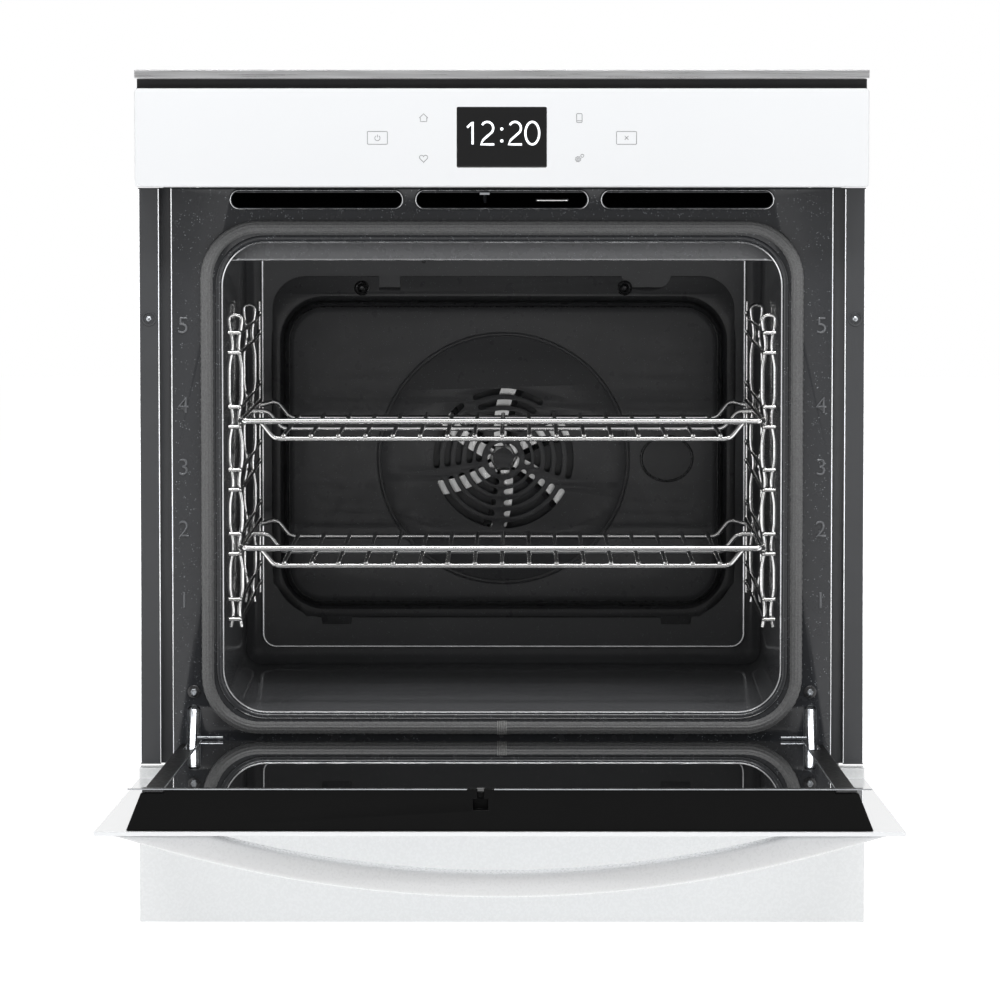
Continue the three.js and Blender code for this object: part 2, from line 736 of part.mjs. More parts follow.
// ---------- Rack ladders and racks ----------
function rackLadder() {
  const y0 = liner.front + 12;
  const y1 = y0 + rackDepth + 5;
  const uprightX = liner.half - 4.5;
  const guideX = liner.half - GUIDE_SIDE;
  const low = guideLevel(1) - 22;
  const high = guideLevel(LEVELS) + GUIDE_PAIR + 14;
  const uprights = [y0 + 12, y0 + 0.9 * rackDepth].map((y) =>
    wire(
      bent(
        [
          [liner.half - 1.4, y, low],
          [uprightX, y, low + 2],
          [uprightX, y, high - 2],
          [liner.half - 1.4, y, high],
        ],
        1,
        1,
      ),
      WIRE,
    ),
  );
  const guides = [];
  for (let level = 1; level <= LEVELS; level += 1)
    for (const z of [guideLevel(level), guideLevel(level) + GUIDE_PAIR]) {
      guides.push(straightWire([guideX, y0, z], [guideX, y1, z], WIRE));
      for (const y of [y0 + 12, y0 + 0.9 * rackDepth])
        guides.push(straightWire([guideX - 0.5, y, z], [uprightX + 0.5, y, z], WIRE * 0.8, 4));
    }
  return join(...uprights, ...guides);
}

function rack(level) {
  const railZ = guideLevel(level) + railRise;
  const lowZ = railZ - RACK_DROP;
  const side = liner.half - RACK_SIDE;
  const back = RACK_FRONT + rackDepth;
  const rails = [-side, side].map((x) => straightWire([x, RACK_FRONT, railZ], [x, back, railZ], BAR));
  const frontBar = straightWire([-side - 1, RACK_FRONT, railZ], [side + 1, RACK_FRONT, railZ], FRONT_BAR);
  const crossbar = (y) =>
    wire(
      bent(
        [
          [-side + 1, y, railZ],
          [-side + 15, y, railZ],
          [-side + 27, y, lowZ],
          [side - 27, y, lowZ],
          [side - 15, y, railZ],
          [side - 1, y, railZ],
        ],
        4,
        2,
      ),
      CROSSBAR,
    );
  const crossbars = [RACK_FRONT + 7, RACK_FRONT + 0.48 * rackDepth, back - 1].map(crossbar);
  const count = 2 * Math.floor((side - 33) / RACK_PITCH) + 1;
  const wires = Array.from({ length: count }, (_, i) => {
    const x = (i - (count - 1) / 2) * RACK_PITCH;
    const z = lowZ + CROSSBAR + WIRE - 1.4;
    return straightWire([x, RACK_FRONT + 4, z], [x, back + 5, z], WIRE, 4);
  });
  return join(...rails, frontBar, ...crossbars, ...wires);
}

addPair("rack_ladder", rackLadder(), CHROME);
addPiece("upper_rack", rack(4), CHROME);
addPiece("lower_rack", rack(2), CHROME);

// ---------- Cooling air ----------
function ventDuct() {
  const side = liner.half - 6;
  const y0 = FRAME_SETBACK + SHEET + CLEAR;
  const bottom = ventTop - VENT.height - 2;
  return hollow(
    [-side, side, y0, DUCT_BACK, bottom, ductTop],
    [-side + SHEET, side - SHEET, y0 - 1, DUCT_BACK + 1, bottom + SHEET, ductTop - SHEET],
  );
}

const blower = {
  y0: DUCT_BACK + 2,
  y1: DUCT_BACK + 2 + BLOWER.length,
  bottom: ductTop - 16,
  top: casingTop - 22,
  axisY: DUCT_BACK + 2 + BLOWER.length / 2,
};
blower.axisZ = (blower.top + blower.bottom) / 2;

function blowerHousing() {
  const outer = [-BLOWER.half, BLOWER.half, blower.y0, blower.y1, blower.bottom, blower.top];
  const inner = [
    -BLOWER.half + SHEET,
    BLOWER.half - SHEET,
    blower.y0 + SHEET,
    blower.y1 - SHEET,
    blower.bottom + SHEET,
    blower.top - SHEET,
  ];
  const outletSide = BLOWER.half - 5;
  const outlet = [-outletSide, outletSide, blower.y0 - 1, blower.y0 + 5, blower.bottom + 3, ductTop - 3];
  const inletSide = BLOWER.half - 12;
  const inlet = [-inletSide, inletSide, blower.y1 - 5, blower.y1 + 1, blower.top - 40, blower.top - 8];
  const shaftHole = bar("x", BLOWER.half - 5, blower.axisY, blower.axisZ, 5, 10, 10);
  return cut(block(...outer), block(...inner), block(...outlet), block(...inlet), shaftHole);
}

// Drum rotor: two rings of vanes on a shaft.
function coolingFan() {
  const side = BLOWER.half - 8;
  const shaft = bar("x", -side, 0, 0, 3, 2 * side + 34, 8);
  const discs = [-side, -1, side - 2].map((x) => bar("x", x, 0, 0, BLOWER.radius, 2, 20));
  const vanes = Array.from({ length: 12 }, (_, i) =>
    block(-side + 1, side - 1, -0.6, 0.6, BLOWER.radius - 7, BLOWER.radius - 1).rotate([i * 30, 0, 0]),
  );
  return join(shaft, ...discs, ...vanes).translate([0, blower.axisY, blower.axisZ]);
}

function blowerMotor() {
  const x0 = BLOWER.half + 4;
  const can = bar("x", x0, blower.axisY, blower.axisZ, 24, 48, 16);
  const y0 = blower.axisY - 20;
  const foot = block(x0 + 4, x0 + 44, y0, y0 + 40, blower.bottom, blower.axisZ - 16);
  return cut(join(can, foot), bar("x", x0 - 1, blower.axisY, blower.axisZ, 4, 30, 8));
}

addPiece("vent_duct", ventDuct(), GALVANISED);
addPiece("blower_housing", blowerHousing(), GALVANISED);
addPiece("cooling_fan", coolingFan(), BRUSHED);
addPiece("blower_motor", blowerMotor(), GALVANISED);

// ---------- Door latch and door switch, seen in the middle vent ----------
const latch = { x: -14, y: 30, z: ventTop - VENT.height / 2, top: ventTop - 0.4, thick: 2, nose: 20 };

// A flat bar that passes over the shut door's top cap, with a cross head that drops into the cap.
function latchHook() {
  const under = latch.top - latch.thick;
  const arm = sidePlate(
    [
      [latch.y + 6, latch.z - 3],
      [latch.y + 6, latch.z + 3],
      [latch.y - 8, latch.z + 3],
      [6, latch.top],
      [-latch.nose, latch.top],
      [-latch.nose, under],
      [6, under],
      [latch.y - 10, latch.z - 3],
    ],
    latch.x - 1.2,
    latch.x + 1.2,
  );
  return join(arm, block(latch.x - 4, latch.x + 4, -latch.nose, -latch.nose + 4, under, latch.top));
}

function switchLever() {
  const z = latch.z - 0.5;
  const far = ventWidth / 2 - 15.5;
  const near = far - 26;
  return wire(
    bent(
      [
        [near, latch.y, z],
        [near, -3.5, z],
        [far, -3.5, z],
        [far, latch.y, z],
      ],
      4,
      3,
    ),
    1.1,
  );
}

addPiece("door_latch", latchHook(), ZINC);
addPiece("switch_lever", switchLever(), CHROME);

// ---------- Control panel ----------
function controlGlass() {
  const z = controlBottom + DISPLAY.rise;
  const side = DISPLAY.width / 2;
  const sheet = panel(-half, half, controlBottom, controlTop, 1.5, glassFront, glassBack, 2);
  return cut(sheet, block(-side, side, glassFront - 1, glassBack + 1, z, z + DISPLAY.height));
}

function displayModule() {
  const z = controlBottom + DISPLAY.rise;
  const side = DISPLAY.width / 2;
  const y0 = glassBack + CLEAR;
  const inside = side - CLEAR;
  const screen = block(-inside, inside, glassFront + 0.2, y0 + 1, z + CLEAR, z + DISPLAY.height - CLEAR);
  return join(screen, block(-side - 5, side + 5, y0, y0 + 9, z - 5, z + DISPLAY.height + 5));
}

// Plastic carrier behind the glass, with the dark ledge that carries the strip.
function controlCarrier() {
  const side = half - 1.5;
  const y0 = glassBack + CLEAR;
  const y1 = -CLEAR;
  const outer = [-side, side, y0, y1, controlBottom + 1, controlTop];
  const inner = [-side + 2.5, side - 2.5, y0 - 1, y1 - 2, controlBottom + 3.5, controlTop - 2.5];
  const ledge = block(-side, side, glassFront + 10, y1, controlTop - 1, controlTop + STRIP_RECESS - CLEAR);
  return join(hollow(outer, inner), ledge);
}

function controlBoard() {
  const side = 150;
  const back = -2 - 2 * CLEAR;
  const plate = block(-side, side, back - 1.6, back, controlBottom + 10, controlTop - 10);
  const chips = [-110, -60, 70, 115].map((x) =>
    block(x - 9, x + 9, back - 5, back - 1, controlBottom + 24, controlBottom + 46),
  );
  return join(plate, ...chips);
}

function topStrip() {
  const z1 = HEIGHT;
  const z0 = HEIGHT - STRIP_HEIGHT;
  return sidePlate(
    [
      [glassFront, z0],
      [glassFront, z1],
      [-1, z1],
      [-1, z0],
      [-2.5, z0],
      [-2.5, z1 - 1.5],
      [glassFront + 1.5, z1 - 1.5],
      [glassFront + 1.5, z0],
    ],
    -half,
    half,
  );
}

function lowerTrim() {
  const y0 = glassFront + LOWER_TRIM.setback;
  const bottom = LOWER_TRIM.bottom;
  return hollow(
    [-half, half, y0, -1, bottom, trimTop],
    [-half + SHEET, half - SHEET, y0 + SHEET, 1, bottom + SHEET, trimTop - SHEET],
  );
}

addPiece("control_glass", controlGlass(), WHITE_GLASS);
addPiece("display_module", displayModule(), SCREEN);
addPiece("control_carrier", controlCarrier(), PLASTIC);
addPiece("control_board", controlBoard(), BOARD);
addPiece("top_trim_strip", topStrip(), BRUSHED);
addPiece("lower_trim_panel", lowerTrim(), WHITE_PAINT);

// ---------- Supply and safety ----------
const terminal = { x0: casingHalf - 128, x1: casingHalf - 48, bottom: casingTop - 120 };

function terminalBox() {
  const y0 = CASING_DEPTH + SHEET + CLEAR;
  return block(terminal.x0, terminal.x1, y0, y0 + 20, terminal.bottom, terminal.bottom + 80);
}

function cableGland() {
  const x = (terminal.x0 + terminal.x1) / 2;
  const y = CASING_DEPTH + SHEET + CLEAR + 10;
  const z = terminal.bottom - CLEAR;
  const nut = bar("z", x, y, z - 8, 9.5, 8, 6);
  return cut(join(nut, bar("z", x, y, z - 18, 7.5, 12, 12)), bar("z", x, y, z - 19, 5, 14, 12));
}

function safetyThermostat() {
  const z = ductTop + CLEAR;
  return join(bar("z", -90, 130, z, 11, 6, 14), block(-96, -84, 126, 134, z, z + 15));
}

addPiece("terminal_box", terminalBox(), PLASTIC);
addPiece("cable_gland", cableGland(), PLASTIC);
addPiece("safety_thermostat", safetyThermostat(), GALVANISED);

// ---------- Door, drawn shut ----------
const bodyOuter = half - DOOR_BODY.outerInset;
const bodyInner = half - DOOR_BODY.innerInset;
const bodyFront = glassBack + CLEAR;
const innerPane = half - DOOR_GLASS_INSET;
const bodyBack = doorBack - GLASS;
const bodyTop = doorTop - DOOR_BODY.endInset;
const bodyBottom = DOOR_BOTTOM + DOOR_BODY.endInset;
const capHeight = 12;

const outerGlass = () => panel(-half, half, DOOR_BOTTOM, doorTop, 1.5, glassFront, glassBack, 2);

function paneBetween(y0, side, z0, z1) {
  return panel(-side, side, z0, z1, 2, y0, y0 + GLASS - CLEAR, 2);
}

// The room that the fixed hinge arm needs in the door as the door turns round it.
const armRoom = () =>
  block(
    hingeX - HINGE_ARM / 2 - 1.5,
    hingeX + HINGE_ARM / 2 + 1.5,
    pivot.y - 9,
    doorBack + 1,
    DOOR_BOTTOM - 1,
    slotTop + 16,
  );

// Right-hand rail: a channel with a slanted outer wall, notched for the hinge arm.
function doorRail() {
  const web = 1.6;
  const reach = 34;
  const channel = floorPlate(
    [
      [bodyOuter, bodyFront],
      [bodyInner, bodyBack],
      [bodyInner - reach, bodyBack],
      [bodyInner - reach, bodyBack - web],
      [bodyInner - web, bodyBack - web],
      [bodyOuter - web, bodyFront + web],
      [bodyInner - reach, bodyFront + web],
      [bodyInner - reach, bodyFront],
    ],
    bodyBottom + capHeight + CLEAR,
    bodyTop - capHeight - CLEAR,
  );
  return cut(channel, armRoom());
}

// A cap across the whole end of the door, as wide as the rails at front and back.
function doorCap(z0, z1) {
  return floorPlate(
    [
      [bodyOuter, bodyFront],
      [bodyInner, bodyBack],
      [-bodyInner, bodyBack],
      [-bodyOuter, bodyFront],
    ],
    z0,
    z1,
  );
}

// Top cap, with a rim that holds the inner pane and a pocket for the latch's cross head.
function topCap() {
  const cap = doorCap(bodyTop - capHeight, bodyTop);
  const rim = block(-innerPane, innerPane, bodyBack - 1, doorBack, bodyTop - RIM, bodyTop);
  const slot = block(latch.x - 2.4, latch.x + 2.4, -latch.nose, doorBack + 1, bodyTop - RIM, bodyTop + 1);
  const head = [latch.x - 5.5, latch.x + 5.5, -latch.nose - 2, -latch.nose + 6];
  return cut(join(cap, rim), slot, block(...head, bodyTop - capHeight + 1.5, bodyTop + 1));
}

const bottomCap = () => cut(doorCap(bodyBottom, bodyBottom + capHeight), armRoom(), mirrored(armRoom()));

// Steel carrier of the hinge, inside the rail, with the pin that the arm turns on.
function hingeCarrier() {
  const wall = 1.6;
  const side = HINGE_ARM / 2 + 1.2;
  const y0 = bodyFront + 2.2;
  const y1 = bodyBack - 2.2;
  const z1 = slotTop + 90;
  const z0 = bodyBottom + capHeight + 2;
  const cheek = block(hingeX + side, hingeX + side + wall, y0, y1, z0, z1);
  const other = block(hingeX - side - wall, hingeX - side, y0, y1, z0, z1);
  const web = block(hingeX - side - wall, hingeX + side + wall, y0, y0 + wall, slotTop + 18, z1);
  return join(cheek, other, web);
}

function paneClip() {
  const x0 = innerPane + CLEAR;
  return block(x0, bodyInner - 1, bodyBack + CLEAR, doorBack, bodyTop - 12, bodyTop - 1);
}

// Bow handle: the space between a shallow outer arc and an inner one that ends sooner.
function bowHandle() {
  const arc = (span, rise, steps) => {
    const radius = (span * span + rise * rise) / (2 * rise);
    return Array.from({ length: steps + 1 }, (_, i) => {
      const x = span - (2 * span * i) / steps;
      return [x, glassFront - CLEAR - (Math.sqrt(radius * radius - x * x) - radius + rise)];
    });
  };
  const z = doorTop - HANDLE.drop;
  const outer = arc(half - HANDLE.inset, HANDLE.reach, 20);
  const inner = arc(half - HANDLE.gapInset, HANDLE.gap, 16).reverse();
  return floorPlate([...inner, ...outer], z - HANDLE.width / 2, z + HANDLE.width / 2);
}

addPiece("door_outer_glass", outerGlass(), WHITE_GLASS, door);
const middleEnds = [bodyBottom + capHeight + CLEAR, bodyTop - capHeight - CLEAR];
const innerEnds = [bodyBottom + 2, bodyTop - RIM - CLEAR];
addPiece("door_middle_glass", paneBetween(bodyFront + 10, innerPane, ...middleEnds), CLEAR_GLASS, door);
addPiece("door_inner_glass", paneBetween(bodyBack + CLEAR, innerPane, ...innerEnds), CLEAR_GLASS, door);
addPair("door_rail", doorRail(), BLACK_PAINT, door);
addPiece("door_top_cap", topCap(), BLACK_PAINT, door);
addPiece("door_bottom_cap", bottomCap(), BLACK_PAINT, door);
addPair("hinge_carrier", hingeCarrier(), ZINC, door);
addPair("pane_clip", paneClip(), BLACK_PAINT, door);
addPiece("handle_bar", bowHandle(), HANDLE_PAINT, door);

export default oven;
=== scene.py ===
# A built-in wall oven: its look, piece by piece, in the order in which it is put together.
# Metres, with +X to the right of a person facing the oven, +Y into the cabinet and +Z up.

import math

import bmesh
import bpy
import numpy as np
from mathutils import Matrix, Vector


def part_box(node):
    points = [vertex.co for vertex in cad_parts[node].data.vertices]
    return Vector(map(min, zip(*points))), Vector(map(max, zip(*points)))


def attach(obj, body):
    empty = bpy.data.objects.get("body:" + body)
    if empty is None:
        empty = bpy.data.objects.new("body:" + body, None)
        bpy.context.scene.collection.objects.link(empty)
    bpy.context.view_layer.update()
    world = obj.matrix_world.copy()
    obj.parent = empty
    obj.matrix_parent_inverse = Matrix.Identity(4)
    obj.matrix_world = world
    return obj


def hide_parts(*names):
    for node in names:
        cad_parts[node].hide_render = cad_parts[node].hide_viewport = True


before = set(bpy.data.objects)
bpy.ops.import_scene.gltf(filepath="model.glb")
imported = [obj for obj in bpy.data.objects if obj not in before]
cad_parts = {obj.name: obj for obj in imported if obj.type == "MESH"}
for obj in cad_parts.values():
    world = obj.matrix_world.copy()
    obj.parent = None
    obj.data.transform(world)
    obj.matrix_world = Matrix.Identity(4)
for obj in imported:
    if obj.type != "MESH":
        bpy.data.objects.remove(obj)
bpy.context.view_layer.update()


# ---------- Casing ----------
# Folded galvanised sheet, left bare: a base pan, two sides, a back and a top, screwed at their folds.
# Zinc cools into flat crystals, so its tone and shine change from one spangle to the next.
class Finish:
    """A material. What is the same all over is set on the shader, and patterns are added to it."""

    def __init__(self, name, **sockets):
        self.material = bpy.data.materials.new(name)
        self.material.use_nodes = True
        self.tree = self.material.node_tree
        self.shader = self.tree.nodes["Principled BSDF"]
        self.height = None
        for socket, value in sockets.items():
            self.shader.inputs[socket.replace("_", " ")].default_value = value

    def node(self, kind, inputs, **settings):
        """A node of the pattern, with each input set to a number or joined to another node."""
        made = self.tree.nodes.new("ShaderNode" + kind)
        for key, value in settings.items():
            setattr(made, key, value)
        for key, value in inputs.items():
            if isinstance(value, bpy.types.NodeSocket):
                self.tree.links.new(value, made.inputs[key])
            else:
                made.inputs[key].default_value = value
        return made

    def place(self, stretch):
        """Positions on the oven, stretched along each axis."""
        where = self.node("TexCoord", {}).outputs["Object"]
        return self.node("Mapping", {"Vector": where, "Scale": stretch}).outputs["Vector"]

    def grain(self, scale, detail=3, stretch=(1, 1, 1)):
        """Cloudy noise with this many patches to a metre."""
        inputs = {"Vector": self.place(stretch), "Scale": scale, "Detail": detail}
        return self.node("TexNoise", inputs).outputs["Fac"]

    def cells(self, scale, output="Distance", stretch=(1, 1, 1), feature="F1"):
        """Cells with this many to a metre: distance from each one's middle, or a value of its own."""
        inputs = {"Vector": self.place(stretch), "Scale": scale}
        return self.node("TexVoronoi", inputs, feature=feature).outputs[output]

    def span(self, value, low, high, to_low, to_high):
        """A value between low and high, carried over to two other limits."""
        limits = {"Value": value, "From Min": low, "From Max": high, "To Min": to_low, "To Max": to_high}
        return self.node("MapRange", limits).outputs["Result"]

    def tones(self, value, dark, light):
        """A colour between two, picked by a value from 0 to 1."""
        made = self.node("Mix", {"Factor": value}, data_type="RGBA")
        colours = [socket for socket in made.inputs if socket.type == "RGBA"]
        colours[0].default_value = (*dark, 1)
        colours[1].default_value = (*light, 1)
        return next(socket for socket in made.outputs if socket.type == "RGBA")

    def spots(self, under, value, colour):
        """A colour laid over another where a value is 1."""
        made = self.node("Mix", {"Factor": value}, data_type="RGBA")
        colours = [socket for socket in made.inputs if socket.type == "RGBA"]
        self.tree.links.new(under, colours[0])
        colours[1].default_value = (*colour, 1)
        return next(socket for socket in made.outputs if socket.type == "RGBA")

    def paint(self, socket, output):
        """A pattern joined to a socket of the shader."""
        self.tree.links.new(output, self.shader.inputs[socket])

    def colour(self, value, dark, light):
        """Base colour between two, picked by a value from 0 to 1."""
        self.paint("Base Color", self.tones(value, dark, light))

    def roughness(self, value, smooth, rough):
        """Roughness between two. Nearly all of a noise lies between 0.3 and 0.7."""
        self.paint("Roughness", self.span(value, 0.3, 0.7, smooth, rough))

    def relief(self, value, depth):
        """Surface relief of this depth in metres, on top of any earlier one."""
        inputs = {"Height": value, "Distance": depth}
        if self.height:
            inputs["Normal"] = self.height
        self.height = self.node("Bump", inputs).outputs["Normal"]
        self.paint("Normal", self.height)


def dress(finish, *names):
    """The finish on CAD pieces whose shape is right as it is."""
    for name in names:
        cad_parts[name].material_slots[0].material = finish.material


def galvanised_sheet():
    finish = Finish("galvanised sheet", Metallic=0.85, Coat_Weight=0.05)
    spangle = finish.cells(120, "Color")
    tone = finish.tree.nodes.new("ShaderNodeSeparateColor")
    finish.tree.links.new(spangle, tone.inputs[0])
    dust = finish.grain(9, 6)
    colour = finish.tones(tone.outputs[0], (0.44, 0.455, 0.47), (0.55, 0.565, 0.58))
    dulled = finish.span(dust, 0.55, 0.75, 0, 0.3)
    finish.paint("Base Color", finish.spots(colour, dulled, (0.33, 0.33, 0.32)))
    finish.paint("Roughness", finish.span(tone.outputs[1], 0, 1, 0.36, 0.52))
    finish.relief(finish.grain(5, 2), 0.0006)
    return finish


galvanised = galvanised_sheet()
dress(galvanised, "base_pan", "side_panel_left", "side_panel_right", "rear_panel", "top_cover")
dress(galvanised, "vent_duct", "blower_housing", "lamp_housing", "safety_thermostat")


# Seven round-headed screws along each side fold and eight along the top of the back, in bright zinc.
def turned(profile, sides=28):
    """A shape turned about the Y axis: each pair of radius and depth is carried round a circle."""
    radius, depth = np.array(profile, float).T[:, :, None]
    turn = np.linspace(0, 2 * np.pi, sides, endpoint=False)
    return np.stack([radius * np.cos(turn), depth + 0 * turn, radius * np.sin(turn)], axis=-1)


def lattice(points, round_first=False, round_second=False, first_index=0):
    """Quads between neighbours of a grid of points, joined up where a direction goes all the way round."""
    rows, columns = points.shape[:2]
    index = np.arange(rows * columns).reshape(rows, columns) + first_index
    if round_first:
        index = np.concatenate([index, index[:1]], axis=0)
    if round_second:
        index = np.concatenate([index, index[:, :1]], axis=1)
    corners = [index[:-1, :-1], index[1:, :-1], index[1:, 1:], index[:-1, 1:]]
    return np.stack(corners, axis=-1).reshape(-1, 4).tolist()


def solid(name, grids, finish, stands_for=(), body="oven_body", smooth=40):
    """A piece from grids of points. Each grid is a row of rings, and neighbouring rings are joined.
    Unless the row is closed and comes round to its first ring, a face closes each end ring."""
    vertices = []
    faces = []
    for points, closed in grids:
        start = sum(len(block) for block in vertices)
        faces += lattice(points, closed, True, start)
        rows, columns = points.shape[:2]
        if not closed:
            faces.append(list(range(start, start + columns)))
            faces.append(list(range(start + (rows - 1) * columns, start + rows * columns)))
        vertices.append(points.reshape(-1, 3))
    mesh = bpy.data.meshes.new(name)
    mesh.from_pydata(np.concatenate(vertices).tolist(), [], faces)
    return finished(name, mesh, finish, stands_for, body, smooth)


def finished(name, mesh, finish, stands_for=(), body="oven_body", smooth=40):
    """The mesh as a piece of the oven: faces outwards, shading, material, body and what it stands for."""
    shell = bmesh.new()
    shell.from_mesh(mesh)
    bmesh.ops.remove_doubles(shell, verts=shell.verts, dist=2e-6)
    bmesh.ops.recalc_face_normals(shell, faces=shell.faces)
    shell.to_mesh(mesh)
    shell.free()
    mesh.shade_smooth()
    mesh.set_sharp_from_angle(angle=math.radians(smooth))
    mesh.materials.clear()
    mesh.materials.append(finish.material)
    piece = bpy.data.objects.new(name, mesh)
    bpy.context.scene.collection.objects.link(piece)
    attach(piece, body)
    if stands_for:
        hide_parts(*stands_for)
    return piece


def pan_head(radius, height):
    """Profile of a round-headed screw with a round socket in it."""
    rise = np.linspace(0, np.pi / 2, 7)
    dome = [(radius * np.cos(a) ** 0.6, -height * np.sin(a)) for a in rise[:-2]]
    socket = [(0.42 * radius, -height), (0.36 * radius, -0.45 * height), (0.02 * radius, -0.4 * height)]
    return [(0.98 * radius, 0.3 * height), *dome, *socket]


def zinc_plate():
    finish = Finish("zinc plate", Metallic=1.0)
    cloud = finish.grain(60, 4)
    finish.colour(cloud, (0.42, 0.44, 0.47), (0.66, 0.68, 0.7))
    finish.roughness(finish.grain(180, 3), 0.22, 0.38)
    finish.relief(finish.grain(900, 2), 0.00003)
    return finish


zinc = zinc_plate()


def casing_screws():
    """Turned heads, copied to their places on the back."""
    low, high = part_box("rear_panel")
    head = turned(pan_head(0.0042, 0.0022)) * (1, -1, 1)
    across = np.linspace(low.x + 0.03, high.x - 0.03, 8)
    upward = np.linspace(low.z + 0.05, high.z - 0.08, 7)
    spots = [(x, high.y, high.z - 0.008) for x in across]
    spots += [(x, high.y, z) for z in upward for x in (low.x + 0.007, high.x - 0.007)]
    grids = [(head + spot, False) for spot in spots]
    solid("casing_screws", grids, zinc)


casing_screws()

# ---------- Insulation and heat behind the liner ----------
# Loose mineral wool wraps the liner and keeps its heat off the casing.
# The motors are plated steel cans on the cool side of it.


def mineral_wool():
    finish = Finish("mineral wool", Roughness=0.95, Sheen_Weight=0.3)
    strands = finish.grain(260, 8, (1, 1, 0.35))
    finish.colour(strands, (0.36, 0.32, 0.2), (0.7, 0.65, 0.47))
    finish.relief(strands, 0.002)
    return finish


dress(mineral_wool(), "insulation_blanket")
dress(zinc, "fan_motor", "blower_motor")

# ---------- Mounting flanges ----------
# Painted steel strips down both sides that lie on the cabinet's face and carry its screws.
# Each is folded back in a step beside the frame. The thin bright lines along the folds are painted
# highlights, made by slim metal beads.


def eased(name, finish, width, segments=2, body="oven_body"):
    """A copy of a CAD piece as one whole surface, with its edges eased by a small round."""
    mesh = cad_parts[name].data.copy()
    shell = bmesh.new()
    shell.from_mesh(mesh)
    bmesh.ops.remove_doubles(shell, verts=shell.verts, dist=2e-6)
    bmesh.ops.dissolve_limit(shell, angle_limit=0.01, verts=shell.verts, edges=shell.edges)
    shell.to_mesh(mesh)
    shell.free()
    piece = finished(name + "_eased", mesh, finish, (name,), body)
    ease = piece.modifiers.new("eased edges", "BEVEL")
    ease.width = width
    ease.segments = segments
    ease.limit_method = "ANGLE"
    ease.angle_limit = math.radians(28)
    ease.harden_normals = True
    return piece


def flange_paint():
    finish = Finish("flange paint", Coat_Weight=0.25, Coat_Roughness=0.2)
    finish.colour(finish.grain(30, 3), (0.042, 0.0435, 0.047), (0.052, 0.054, 0.058))
    finish.roughness(finish.grain(140, 3), 0.34, 0.44)
    finish.relief(finish.grain(1400, 2), 0.00003)
    return finish


flange_finish = flange_paint()
for side in ("left", "right"):
    eased("mounting_flange_" + side, flange_finish, 0.0005)


def flange_screws():
    """A turned cup with a round head in it, at the middle of each CAD screw."""
    rim = [(0.0067, 0.0014), (0.0067, 0.0004), (0.0059, -0.0006), (0.0048, -0.0008)]
    cup = [*rim, (0.0038, 0.0004), (0.0003, 0.0006)]
    for side in ("left", "right"):
        low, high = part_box("flange_screw_" + side)
        middle = ((low.x + high.x) / 2, -0.0015, (low.z + high.z) / 2)
        grids = [(turned(cup) + middle, False)]
        solid("flange_screw_cup_" + side, grids, flange_finish)
        head = [(turned(pan_head(0.0026, 0.0019)) + middle, False)]
        solid("flange_screw_head_" + side, head, zinc, ("flange_screw_" + side,))


flange_screws()

# ---------- Front frame ----------
# Pressed steel under vitreous enamel, fired blue-grey with fine pale specks.
# Its mouth and its three air slots are folded inwards, and it carries the rack levels' numbers.


def rounded(half, bottom, top, radius, corner=14, side=2):
    """An outline with round corners: for each point, its corner's centre and the direction out of it."""
    centres = []
    ways = []
    turn = np.linspace(0, np.pi / 2, corner)
    ends = [(half - radius, top - radius), (radius - half, top - radius)]
    ends += [(radius - half, bottom + radius), (half - radius, bottom + radius)]
    for k, (x, z) in enumerate(ends):
        out = np.stack([np.cos(turn + k * np.pi / 2), np.sin(turn + k * np.pi / 2)], axis=-1)
        after = np.array(ends[(k + 1) % 4], float)
        along = np.linspace(0, 1, side, endpoint=False)[1:, None]
        centres += [np.tile((x, z), (corner, 1)), (1 - along) * (x, z) + along * after]
        ways += [out, np.tile(out[-1], (len(along), 1))]
    return np.concatenate(centres), np.concatenate(ways), radius


def carried(outline, profile):
    """Points of a profile (out from the outline, and y) carried round an outline."""
    centres, ways, radius = outline
    out, depth = np.array(profile, float).T
    flat = centres[:, None, :] + ways[:, None, :] * (radius + out)[None, :, None]
    return np.stack([flat[..., 0], np.broadcast_to(depth, flat.shape[:2]), flat[..., 1]], axis=-1)


def enamel(name, colour, speck, gloss, shine=0.5):
    """Fired enamel: nearly even, with a fine orange peel and pale specks of this strength."""
    finish = Finish(name, Specular_IOR_Level=shine, Coat_Weight=0.35 * shine, Coat_Roughness=0.06, IOR=1.5)
    tone = finish.tones(finish.grain(14, 4), tuple(0.85 * c for c in colour), colour)
    if speck:
        near = finish.cells(620)
        dot = finish.span(near, 0.13, 0.2, 1, 0)
        picked = finish.span(finish.grain(210, 2), 0.52, 0.6, 0, speck)
        both = finish.node("Math", {0: dot, 1: picked}, operation="MULTIPLY").outputs[0]
        tone = finish.spots(tone, both, (0.46, 0.49, 0.52))
    finish.paint("Base Color", tone)
    finish.roughness(finish.grain(90, 4), gloss, gloss + 0.1)
    finish.relief(finish.grain(240, 2), 0.00003)
    finish.relief(finish.grain(7, 2), 0.0007)
    return finish


front_enamel = enamel("front enamel", (0.026, 0.0277, 0.0315), 0.9, 0.2)

liner_low, liner_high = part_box("cavity_liner")
LINER_LIP = 0.012
liner_half = liner_high.x - LINER_LIP
cavity_floor = liner_low.z + LINER_LIP
cavity_ceiling = liner_high.z - LINER_LIP
cavity_back = liner_high.y - 0.0015
frame_low, frame_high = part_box("front_frame")
frame_face = frame_low.y
MOUTH_RADIUS = 0.0358
FOLD = 0.0012
FOLD_BEND = 0.0036


def mouth_outline(side):
    """The mouth just inside the liner's walls, with this many points along each side."""
    return rounded(liner_half - FOLD, cavity_floor + FOLD, cavity_ceiling - FOLD, MOUTH_RADIUS, 18, side)


